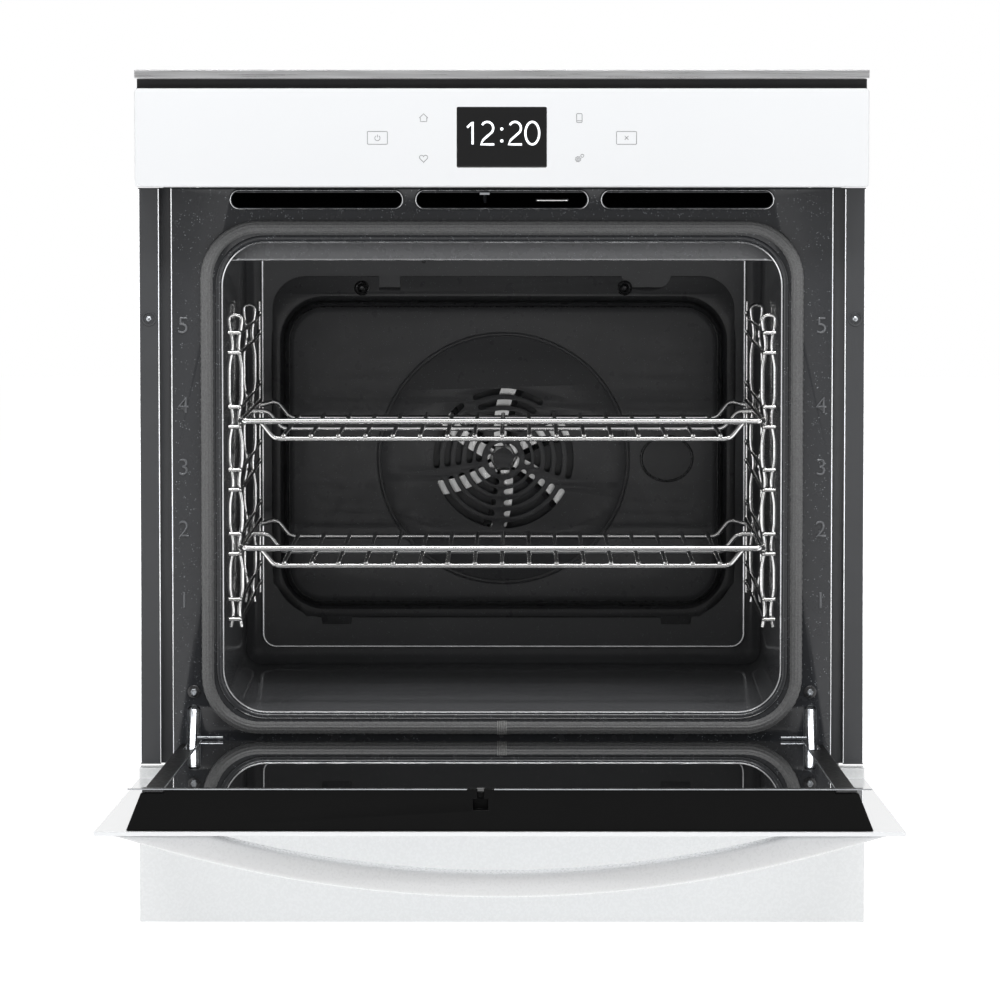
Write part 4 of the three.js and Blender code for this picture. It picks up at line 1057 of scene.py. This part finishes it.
# ---------- Rack ladders and racks ----------
# Spring steel wire, welded and bright-plated.
# The ladders clip to the side walls, and the racks slide in their guides.
def bright_plate():
    finish = Finish("bright plate", Metallic=1.0)
    heat = finish.grain(16, 4)
    finish.colour(heat, (0.78, 0.776, 0.765), (0.95, 0.953, 0.956))
    finish.roughness(finish.grain(350, 3), 0.09, 0.2)
    finish.relief(finish.grain(500, 2), 0.00004)
    return finish


plated = bright_plate()


LADDER_WIRE = 0.0017
GUIDE_GAP = 0.0165


def ladder(side):
    """Two hairpin uprights whose legs draw together at each level, a straight upright at the back,
    and a pair of guide wires for each level, hooked round the first and the last of them."""
    low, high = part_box("rack_ladder_" + side)
    sign = 1 if side == "right" else -1
    guide = min(abs(low.x), abs(high.x)) - 0.0008
    outer = guide + 0.0105
    lower_rest, upper_rest = (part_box(name)[1].z - 0.0075 for name in ("lower_rack", "upper_rack"))
    levels = [0.2478, lower_rest, 0.355, upper_rest, 0.4682]
    grids = []
    z = np.linspace(low.z, high.z - 0.004, 150)
    near = np.min([np.abs(z - level - 0.006) for level in levels], axis=0)
    swing = 0.5 - 0.5 * np.cos(np.pi * np.clip(near / 0.021, 0, 1))
    middle = (guide + outer) / 2
    spread = (outer - guide) / 2 * (0.5 + 0.5 * swing)
    arch = np.linspace(0, np.pi, 12)[1:-1]
    for y, wide in ((low.y + 0.014, 1.0), (low.y + 0.24, 0.92)):
        legs = [np.stack([middle + way * wide * spread, z], axis=-1) for way in (-1, 1)]
        top = np.stack([middle - wide * spread[-1] * np.cos(arch), z[-1] + 0.0035 * np.sin(arch)], axis=-1)
        flat = np.concatenate([legs[0], top, legs[1][::-1]])
        path = np.stack([sign * flat[:, 0], 0 * flat[:, 0] + y, flat[:, 1]], axis=-1)
        grids.append(wire(path, 0.0019, up=ACROSS))
    rear = high.y - 0.006
    upright = [(sign * guide, rear, height) for height in (low.z + 0.002, 0.4, high.z)]
    grids.append(wire(upright, LADDER_WIRE, up=ACROSS))
    front = low.y + 0.004
    hooked = rear - 0.0034
    for height in (level + rise for level in levels for rise in (0, GUIDE_GAP)):
        corners = [
            (outer, front, height),
            (guide + 0.0005, front, height),
            (guide + 0.0005, front + 0.012, height),
            (guide + 0.002, rear - 0.02, height),
            (guide + 0.0005, hooked, height + 0.003),
            (guide - 0.0016, hooked, height + 0.006),
        ]
        path = bends([(sign * x, y, h) for x, y, h in corners], 0.0026, 5)
        grids.append(wire(path, LADDER_WIRE))
    solid("rack_ladder_wires_" + side, grids, plated, ("rack_ladder_" + side,))


ladder("left")
ladder("right")


WIRE_PITCH = 0.0225


def rack(name):
    """Side rails and a front bar, three crossbars that step down to a lower bed, and wires along the bed."""
    low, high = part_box(name)
    rail = high.z - 0.0025
    bed = low.z + 0.002
    front = low.y + 0.0025
    back = high.y - 0.0055
    side = high.x - 0.0025
    corners = [(-side, back, rail), (-side, front, rail), (side, front, rail), (side, back, rail)]
    grids = [wire(bends(corners, 0.005, 8), 0.0026)]
    for y in (front + 0.007, front + 0.149, back):
        drop = 0.004 if y == back else 0
        left = [(-side + 0.001, y, rail - drop), (-side + 0.015, y, rail), (-side + 0.027, y, bed)]
        corners = left + [(-x, y, z) for x, y, z in left[::-1]]
        grids.append(wire(bends(corners, 0.005, 6), 0.0022, up=ACROSS))
    count = 2 * int((side - 0.033) / WIRE_PITCH) + 1
    z = bed + 0.0026
    for x in (np.arange(count) - (count - 1) / 2) * WIRE_PITCH:
        run = [(x, front + 0.0035, z - 0.0003), (x, front + 0.03, z), (x, back + 0.0045, z)]
        grids.append(wire(run, 0.0018, sides=10, tip=1.4))
    solid(name + "_wires", grids, plated, (name,), name)


rack("upper_rack")
rack("lower_rack")

# ---------- Latch and door switch ----------
# A zinc-plated hook holds the shut door, and the door pushes back a bent wire that works the switch.
# Both are seen through the middle air slot.
eased("door_latch", zinc, 0.0003, body="door_latch")


def switch_lever():
    """A wire bent to a U that points forwards."""
    low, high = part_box("switch_lever")
    height = (low.z + high.z) / 2
    left = low.x + 0.0011
    right = high.x - 0.0011
    front = low.y + 0.0011
    corners = [(left, high.y, height), (left, front, height), (right, front, height), (right, high.y, height)]
    bent = wire(bends(corners, 0.004, 6), 0.00105)
    solid("switch_wire", [bent], plated, ("switch_lever",), "switch_lever")


switch_lever()

# ---------- Control panel ----------
# One sheet of toughened glass, painted white behind, with polished edges and a clear window for the display.
# Its touch marks are printed in grey. It is glued to a moulded black carrier.


def white_painted_glass():
    finish = Finish("white glass", Roughness=0.04, IOR=1.52, Coat_Weight=0.3, Coat_Roughness=0.03)
    finish.colour(finish.grain(6, 3), (0.83, 0.843, 0.86), (0.86, 0.872, 0.888))
    finish.relief(finish.grain(9, 1), 0.00008)
    return finish


white_glass = white_painted_glass()
panel_low, panel_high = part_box("control_glass")
display_low, display_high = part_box("display_module")


CHAMFER = 0.0022


def panel_sheet():
    """The panel's flat sheet. Round every edge its face falls away over a small quarter round."""
    corner = 0.001
    half = (panel_high.x - panel_low.x) / 2
    rise = (panel_high.z - panel_low.z) / 2
    outline = rounded(half, -rise, rise, corner + CHAMFER, 6)
    bend = np.linspace(0, np.pi / 2, 4)
    front = [(-CHAMFER * (1 - np.sin(a)), panel_low.y + 0.7 * CHAMFER * (1 - np.cos(a))) for a in bend]
    rear = [(0, panel_high.y - 0.0004), (-0.0004, panel_high.y)]
    grid = carried(outline, [(-CHAMFER - 0.6 * corner, panel_low.y), *front, *rear])
    grid = grid + ((panel_high.x + panel_low.x) / 2, 0, (panel_low.z + panel_high.z) / 2)
    sheet = [(grid.swapaxes(0, 1), False)]
    solid("control_glass_sheet", sheet, white_glass, ("control_glass",), smooth=20)


panel_sheet()


def screen_glass():
    finish = Finish("screen", Roughness=0.05, IOR=1.5, Coat_Weight=0.4)
    finish.colour(finish.grain(300, 2), (0.0015, 0.0015, 0.0018), (0.003, 0.003, 0.0034))
    return finish


def grey_print():
    finish = Finish("grey print", Roughness=0.4)
    finish.colour(finish.grain(900, 2), (0.2, 0.2, 0.21), (0.27, 0.27, 0.28))
    return finish


def lit_figures():
    finish = Finish("lit figures", Roughness=0.4, Emission_Strength=0.9, Emission_Color=(0.93, 0.97, 1, 1))
    finish.colour(finish.grain(900, 2), (0.8, 0.82, 0.85), (0.9, 0.92, 0.95))
    return finish


ink = grey_print()
lit = lit_figures()
panel_middle = (panel_low.z + panel_high.z) / 2
glass_front = panel_low.y
SCREEN_INSET = 0.005
screen_bottom = display_low.z + SCREEN_INSET
screen_top = display_high.z - SCREEN_INSET


def display_window():
    """The clear window: a thin black sheet with small round corners, just proud of the glass."""
    half = (display_high.x - display_low.x) / 2 - SCREEN_INSET
    centres, ways, corner = rounded(half, screen_bottom, screen_top, 0.0012, 5)
    outlines = [centres + ways * corner]
    front = glass_front - 0.00015
    glass = screen_glass()
    cutout("display_window", outlines, front, 0.001, 0.00008, glass, ("display_module",))


display_window()


def clock():
    """Thin figures with round ends, each a flattened thread along arcs and straight runs."""
    height = 0.0182
    base = (screen_bottom + screen_top) / 2 - 0.0058
    turn = np.linspace(0, 2 * np.pi, 32, endpoint=False)
    nought = np.stack([0.0056 * np.sin(turn), height / 2 * (1 - np.cos(turn))], axis=-1)
    crown = np.linspace(np.radians(150), np.radians(-38), 14)
    two = np.stack([0.0048 * np.cos(crown), height - 0.0051 + 0.0051 * np.sin(crown)], axis=-1)
    two = np.concatenate([two, [(-0.0035, 0.0035), (-0.0052, 0), (0, 0), (0.0056, 0)]])
    one = [(-0.0042, 0.0137), (-0.0005, 0.0172), (0.0002, height), (0.0002, 0.0091), (0.0002, 0)]
    grids = []
    figures = ((one, -0.0238), (two, -0.0117), (two, 0.0107), (nought, 0.0247))
    for shape, x in figures:
        flat = np.array(shape, float)
        path = np.stack([flat[:, 0] + x, 0 * flat[:, 0], flat[:, 1] + base], axis=-1)
        grids.append(wire(path, 0.00088, up=ACROSS, sides=10, closed=shape is nought))
    dot = turned([(0.0013, 0.0006), (0.0013, -0.0004), (0.0007, -0.0006), (0.0001, -0.0006)], 16)
    grids += [(dot + (0, 0, base + z), False) for z in (0.0028, 0.0125)]
    place = (0, glass_front - 0.0002, 0)
    squashed = [(grid * (1, 0.3, 1) + place, closed) for grid, closed in grids]
    solid("clock_figures", squashed, lit)


clock()


UPPER_ROW = panel_middle + 0.016
LEFT_KEY, RIGHT_KEY = -0.1007, 0.101
LEFT_MARKS, RIGHT_MARKS = -0.0633, 0.0628


def touch_marks():
    """Fine printed lines, each a thin raised thread of ink along a path on the glass."""
    marks = []

    def stroke(points, x, z, closed=False):
        points = np.array(points, float)
        depth = 0 * points[:, 0] + glass_front + 0.0001
        path = np.stack([points[:, 0] + x, depth, points[:, 1] + z], axis=-1)
        marks.append(wire(path, 0.0003, up=ACROSS, sides=6, closed=closed))

    def box(half_width, half_height, x, z):
        centres, ways, radius = rounded(half_width, -half_height, half_height, 0.0008, 4)
        stroke(centres + ways * radius, x, z, True)

    turn = np.linspace(0, 2 * np.pi, 24, endpoint=False)

    def ring(radius, x, z):
        stroke(np.stack([radius * np.cos(turn), radius * np.sin(turn)], axis=-1), x, z, True)

    # Power: an open ring and a short line, in a frame.
    box(0.0081, 0.0052, LEFT_KEY, panel_middle)
    arc = np.linspace(np.radians(125), np.radians(415), 18)
    stroke(np.stack([0.0021 * np.cos(arc), 0.0021 * np.sin(arc)], axis=-1), LEFT_KEY, panel_middle - 0.0002)
    stroke([(0, 0.0004), (0, 0.0016), (0, 0.0026)], LEFT_KEY, panel_middle)
    # Stop: a cross, in a frame.
    box(0.0081, 0.0052, RIGHT_KEY, panel_middle)
    for rise in (0.0015, -0.0015):
        stroke([(-0.0015, -rise), (0, 0), (0.0015, rise)], RIGHT_KEY, panel_middle)
    # Home: a roof over three walls.
    roof = [(-0.0035, 0), (-0.0017, 0.0018), (0, 0.0034), (0.0017, 0.0018), (0.0035, 0)]
    stroke(roof, LEFT_MARKS, UPPER_ROW)
    walls = [(-0.0026, 0.0004), (-0.0026, -0.0028), (0, -0.0028), (0.0026, -0.0028), (0.0026, 0.0004)]
    stroke(walls, LEFT_MARKS, UPPER_ROW)
    # Favourites: a heart, from sums of cosines of one angle.
    lobes = 13 * np.cos(turn) - 5 * np.cos(2 * turn) - 2 * np.cos(3 * turn) - np.cos(4 * turn)
    heart = 0.00021 * np.stack([16 * np.sin(turn) ** 3, lobes], axis=-1)
    stroke(heart, LEFT_MARKS, panel_middle - 0.0165, True)
    # Remote control: a small upright box with a line across its foot.
    box(0.0022, 0.0036, RIGHT_MARKS, UPPER_ROW)
    stroke([(-0.0022, -0.0022), (0, -0.0022), (0.0022, -0.0022)], RIGHT_MARKS, UPPER_ROW)
    # Settings: a toothed wheel with an eye, and a small ring beside it.
    teeth = 0.0021 * (1 + 0.14 * np.sign(np.sin(8 * turn)))
    ring(teeth, RIGHT_MARKS - 0.001, panel_middle - 0.0172)
    ring(0.0009, RIGHT_MARKS - 0.001, panel_middle - 0.0172)
    ring(0.0012, RIGHT_MARKS + 0.0024, panel_middle - 0.0145)
    solid("touch_marks", marks, ink)


touch_marks()


def moulded_black():
    finish = Finish("moulded black", IOR=1.46)
    finish.colour(finish.grain(60, 3), (0.01, 0.01, 0.011), (0.016, 0.016, 0.017))
    finish.roughness(finish.grain(700, 4), 0.42, 0.58)
    finish.relief(finish.cells(1800), 0.00004)
    return finish


moulding = moulded_black()
dress(moulding, "control_carrier", "cable_gland")
eased("terminal_box", moulding, 0.002, 3)


def circuit_lacquer():
    finish = Finish("circuit lacquer", Coat_Weight=0.6, Coat_Roughness=0.1)
    tracks = finish.cells(260, "Distance", (1, 1, 1), "DISTANCE_TO_EDGE")
    finish.colour(finish.span(tracks, 0.02, 0.06, 1, 0), (0.01, 0.07, 0.03), (0.03, 0.2, 0.08))
    finish.roughness(finish.grain(400, 2), 0.3, 0.5)
    return finish


dress(circuit_lacquer(), "control_board")


# ---------- Trims ----------
# The top strip is folded stainless steel, brushed along its length.
# The lower panel is powder-coated steel, in the white of the glass.
def brushed_steel():
    finish = Finish("brushed steel", Metallic=1.0, Anisotropic=0.5)
    lines = finish.grain(900, 5, (0.02, 1, 1))
    finish.colour(lines, (0.52, 0.52, 0.525), (0.8, 0.8, 0.81))
    finish.roughness(lines, 0.24, 0.4)
    finish.relief(lines, 0.00003)
    return finish


def white_powder_coat():
    finish = Finish("white powder coat", Coat_Weight=0.4, Coat_Roughness=0.08, IOR=1.5)
    finish.colour(finish.grain(8, 3), (0.77, 0.782, 0.785), (0.8, 0.812, 0.815))
    finish.roughness(finish.grain(500, 3), 0.22, 0.32)
    finish.relief(finish.grain(1300, 2), 0.00002)
    return finish


eased("top_trim_strip", brushed_steel(), 0.0006)
powder = white_powder_coat()
eased("lower_trim_panel", powder, 0.0008, 3)

# ---------- Door ----------
# Three panes in a black steel frame. The outer pane is the same white-backed glass as the control panel.
# The two inner panes carry a heat-reflecting coat, which makes them dark mirrors at a low angle.


def coated_glass():
    finish = Finish("coated glass", Roughness=0.015, IOR=1.9, Coat_Weight=0.5, Coat_Roughness=0.01)
    finish.colour(finish.grain(5, 2), (0.012, 0.0124, 0.013), (0.018, 0.0184, 0.019))
    finish.relief(finish.grain(6, 1), 0.00006)
    return finish


def black_paint():
    finish = Finish("black paint", Specular_IOR_Level=0.12)
    finish.colour(finish.grain(25, 3), (0.0018, 0.0018, 0.0019), (0.003, 0.003, 0.003))
    finish.roughness(finish.grain(260, 3), 0.35, 0.48)
    finish.relief(finish.grain(1500, 2), 0.00003)
    return finish


mirror_pane = coated_glass()
door_black = black_paint()
eased("door_outer_glass", white_glass, 0.0008, 3, "door")
eased("door_inner_glass", mirror_pane, 0.0006, 2, "door")
dress(mirror_pane, "door_middle_glass")
for name in ("door_rail_left", "door_rail_right", "door_top_cap", "door_bottom_cap"):
    eased(name, door_black, 0.0007, body="door")
for name in ("pane_clip_left", "pane_clip_right"):
    eased(name, blackened, 0.0006, body="door")


def door_edges():
    """Slim round lines that paint the highlights on the inner pane's edges and on the top cap's fold, and the
    two hinge pins.
    """
    low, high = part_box("door_inner_glass")
    cap_low, cap_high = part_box("door_top_cap")
    slope = (high.z - low.z - 0.0032) / (high.y - low.y)
    grids = []
    for side in (-1, 1):
        x = side * (high.x - 0.0002)
        near = (x, high.y - 0.001, low.z + 0.0032)
        far = (x, low.y + 0.001, low.z + 0.0032 + slope * (high.y - low.y))
        middle = tuple((np.array(near) + far) / 2)
        grids.append(wire([near, middle, far], 0.0004, sides=8))
        pin = [(side * (high.x + out), high.y + 0.004, low.z + 0.0049) for out in (0.0035, -0.006, -0.0175)]
        grids.append(wire(pin, 0.0011))
    catch = (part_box("door_latch")[0].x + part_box("door_latch")[1].x) / 2
    for start, end in ((-0.995 * cap_high.x, catch - 0.01), (catch + 0.01, 0.995 * cap_high.x)):
        run = [(x, cap_low.y + 0.0004, cap_high.z - 0.0003) for x in (start, (start + end) / 2, end)]
        grids.append(wire(run, 0.0005, sides=8))
    solid("door_pins_and_highlight_lines", grids, zinc, body="door")


door_edges()

# ---------- Handle ----------
# A hollow bow, painted white, that comes down to the glass at both ends.
# It is screwed on there through the outer pane.
DOOR_LEAN = math.radians(90 - 87.65)
GLASS_GAP = 0.0003


def bow(x, half, depth):
    """Depth of an arc over a chord, plus a small gap: the arc's radius is (half^2 + depth^2) / (2 depth)."""
    radius = (half**2 + depth**2) / (2 * depth)
    return GLASS_GAP + depth - radius + np.sqrt(radius**2 - np.minimum(x * x, half**2))


def handle():
    """A bar between two shallow arcs: it is as deep as the gap between them, and ends in a point.
    Its section is a squared circle, the cosine and sine of an angle to a power, and leans with the door."""
    low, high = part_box("handle_bar")
    half = high.x
    x = half * np.sin(np.linspace(-1, 1, 121) * np.pi / 2)
    inner = np.maximum(bow(x, half - 0.07, 0.028), GLASS_GAP)
    outer = np.maximum(bow(x, half, 0.046), inner + 0.0004)
    turn = np.linspace(0, 2 * np.pi, 28, endpoint=False)
    softness = 0.42
    bulge, lift = (np.sign(wave) * np.abs(wave) ** softness for wave in (np.cos(turn), np.sin(turn)))
    down = ((outer + inner) / 2)[:, None] + ((outer - inner) / 2)[:, None] * lift
    width = 0.011 * bulge + 0 * down
    y = (high.y + low.y) / 2 + width * math.cos(DOOR_LEAN) - (down - 0.0232) * math.sin(DOOR_LEAN)
    z = high.z - 0.0005 - down + width * math.sin(DOOR_LEAN)
    grid = np.stack([x[:, None] + 0 * down, y, z], axis=-1)
    finish = Finish("handle paint", Coat_Weight=0.3, Coat_Roughness=0.1)
    finish.colour(finish.grain(10, 3), (0.7, 0.705, 0.71), (0.74, 0.745, 0.75))
    finish.roughness(finish.grain(500, 3), 0.24, 0.34)
    solid("bow_handle", [(grid, False)], finish, ("handle_bar",), "door", 50)


handle()

# ---------- Studio ----------
# A plain pale floor that glows faintly, and a white surround.
# One large soft light hangs above, and two upright ones stand at the sides.


def floor():
    """A flat square a little below the base pan."""
    half = 9
    points = [(x * half, y * half, -0.001) for x, y in ((-1, -1), (1, -1), (1, 1), (-1, 1))]
    mesh = bpy.data.meshes.new("studio_floor")
    mesh.from_pydata(points, [], [(0, 1, 2, 3)])
    finish = Finish("studio floor", Roughness=0.9, Specular_IOR_Level=0.1)
    finish.shader.inputs["Emission Color"].default_value = (1, 1, 1, 1)
    finish.shader.inputs["Emission Strength"].default_value = 0.84
    finish.colour(finish.grain(3, 4), (0.43, 0.43, 0.43), (0.45, 0.45, 0.45))
    mesh.materials.append(finish.material)
    piece = bpy.data.objects.new("studio_floor", mesh)
    bpy.context.scene.collection.objects.link(piece)


floor()


def soft_light(name, place, aim, size, power):
    """A square light that faces a point."""
    lamp_data = bpy.data.lights.new(name, "AREA")
    lamp_data.shape = "RECTANGLE"
    lamp_data.size, lamp_data.size_y = size
    lamp_data.energy = power
    light = bpy.data.objects.new(name, lamp_data)
    light.location = place
    way = np.array(aim, float) - np.array(place, float)
    level = math.hypot(way[0], way[1])
    light.rotation_euler = (math.atan2(level, -way[2]), 0, math.atan2(-way[0], way[1]))
    bpy.context.scene.collection.objects.link(light)


soft_light("light_above", (0, -1.5, 2.9), (0, 0, 0.4), (2.6, 0.5), 52)
soft_light("light_left", (-2.3, -1.5, 0.9), (0, 0, 0.4), (0.5, 2.2), 11)
soft_light("light_right", (2.3, -1.5, 0.9), (0, 0, 0.4), (0.5, 2.2), 11)


def white_surround():
    """Full white to the eye and, straight behind the oven, in a mirror. As a light it is dimmer."""
    world = bpy.data.worlds.new("surround")
    world.use_nodes = True
    tree = world.node_tree
    background = tree.nodes["Background"]
    background.inputs["Color"].default_value = (1, 1, 1, 1)
    ray = tree.nodes.new("ShaderNodeLightPath")
    heading = tree.nodes.new("ShaderNodeTexCoord")
    parts = tree.nodes.new("ShaderNodeSeparateXYZ")
    behind = tree.nodes.new("ShaderNodeMapRange")
    behind.inputs["From Min"].default_value = 0.86
    behind.inputs["From Max"].default_value = 0.96
    mirrored = tree.nodes.new("ShaderNodeMath")
    mirrored.operation = "MULTIPLY"
    seen = tree.nodes.new("ShaderNodeMath")
    seen.operation = "MAXIMUM"
    brightness = tree.nodes.new("ShaderNodeMapRange")
    brightness.inputs["To Min"].default_value = 0.34
    brightness.inputs["To Max"].default_value = 1.0
    for start, output, end, socket in (
        (heading, "Generated", parts, "Vector"),
        (parts, "Y", behind, "Value"),
        (behind, "Result", mirrored, 0),
        (ray, "Is Glossy Ray", mirrored, 1),
        (mirrored, "Value", seen, 0),
        (ray, "Is Camera Ray", seen, 1),
        (seen, "Value", brightness, "Value"),
        (brightness, "Result", background, "Strength"),
    ):
        tree.links.new(start.outputs[output], end.inputs[socket])
    bpy.context.scene.world = world
    bpy.context.scene.view_settings.view_transform = "Standard"


white_surround()

camera_data = bpy.data.cameras.new("camera")
camera_data.sensor_width = 36
camera_data.lens = 190.1
camera = bpy.data.objects.new("camera", camera_data)
camera.location = (0.0148, -4.3257, 0.6655)
camera.rotation_euler = (math.pi / 2 - 0.07326, 0, 0.00379)
bpy.context.scene.collection.objects.link(camera)
bpy.context.scene.camera = camera
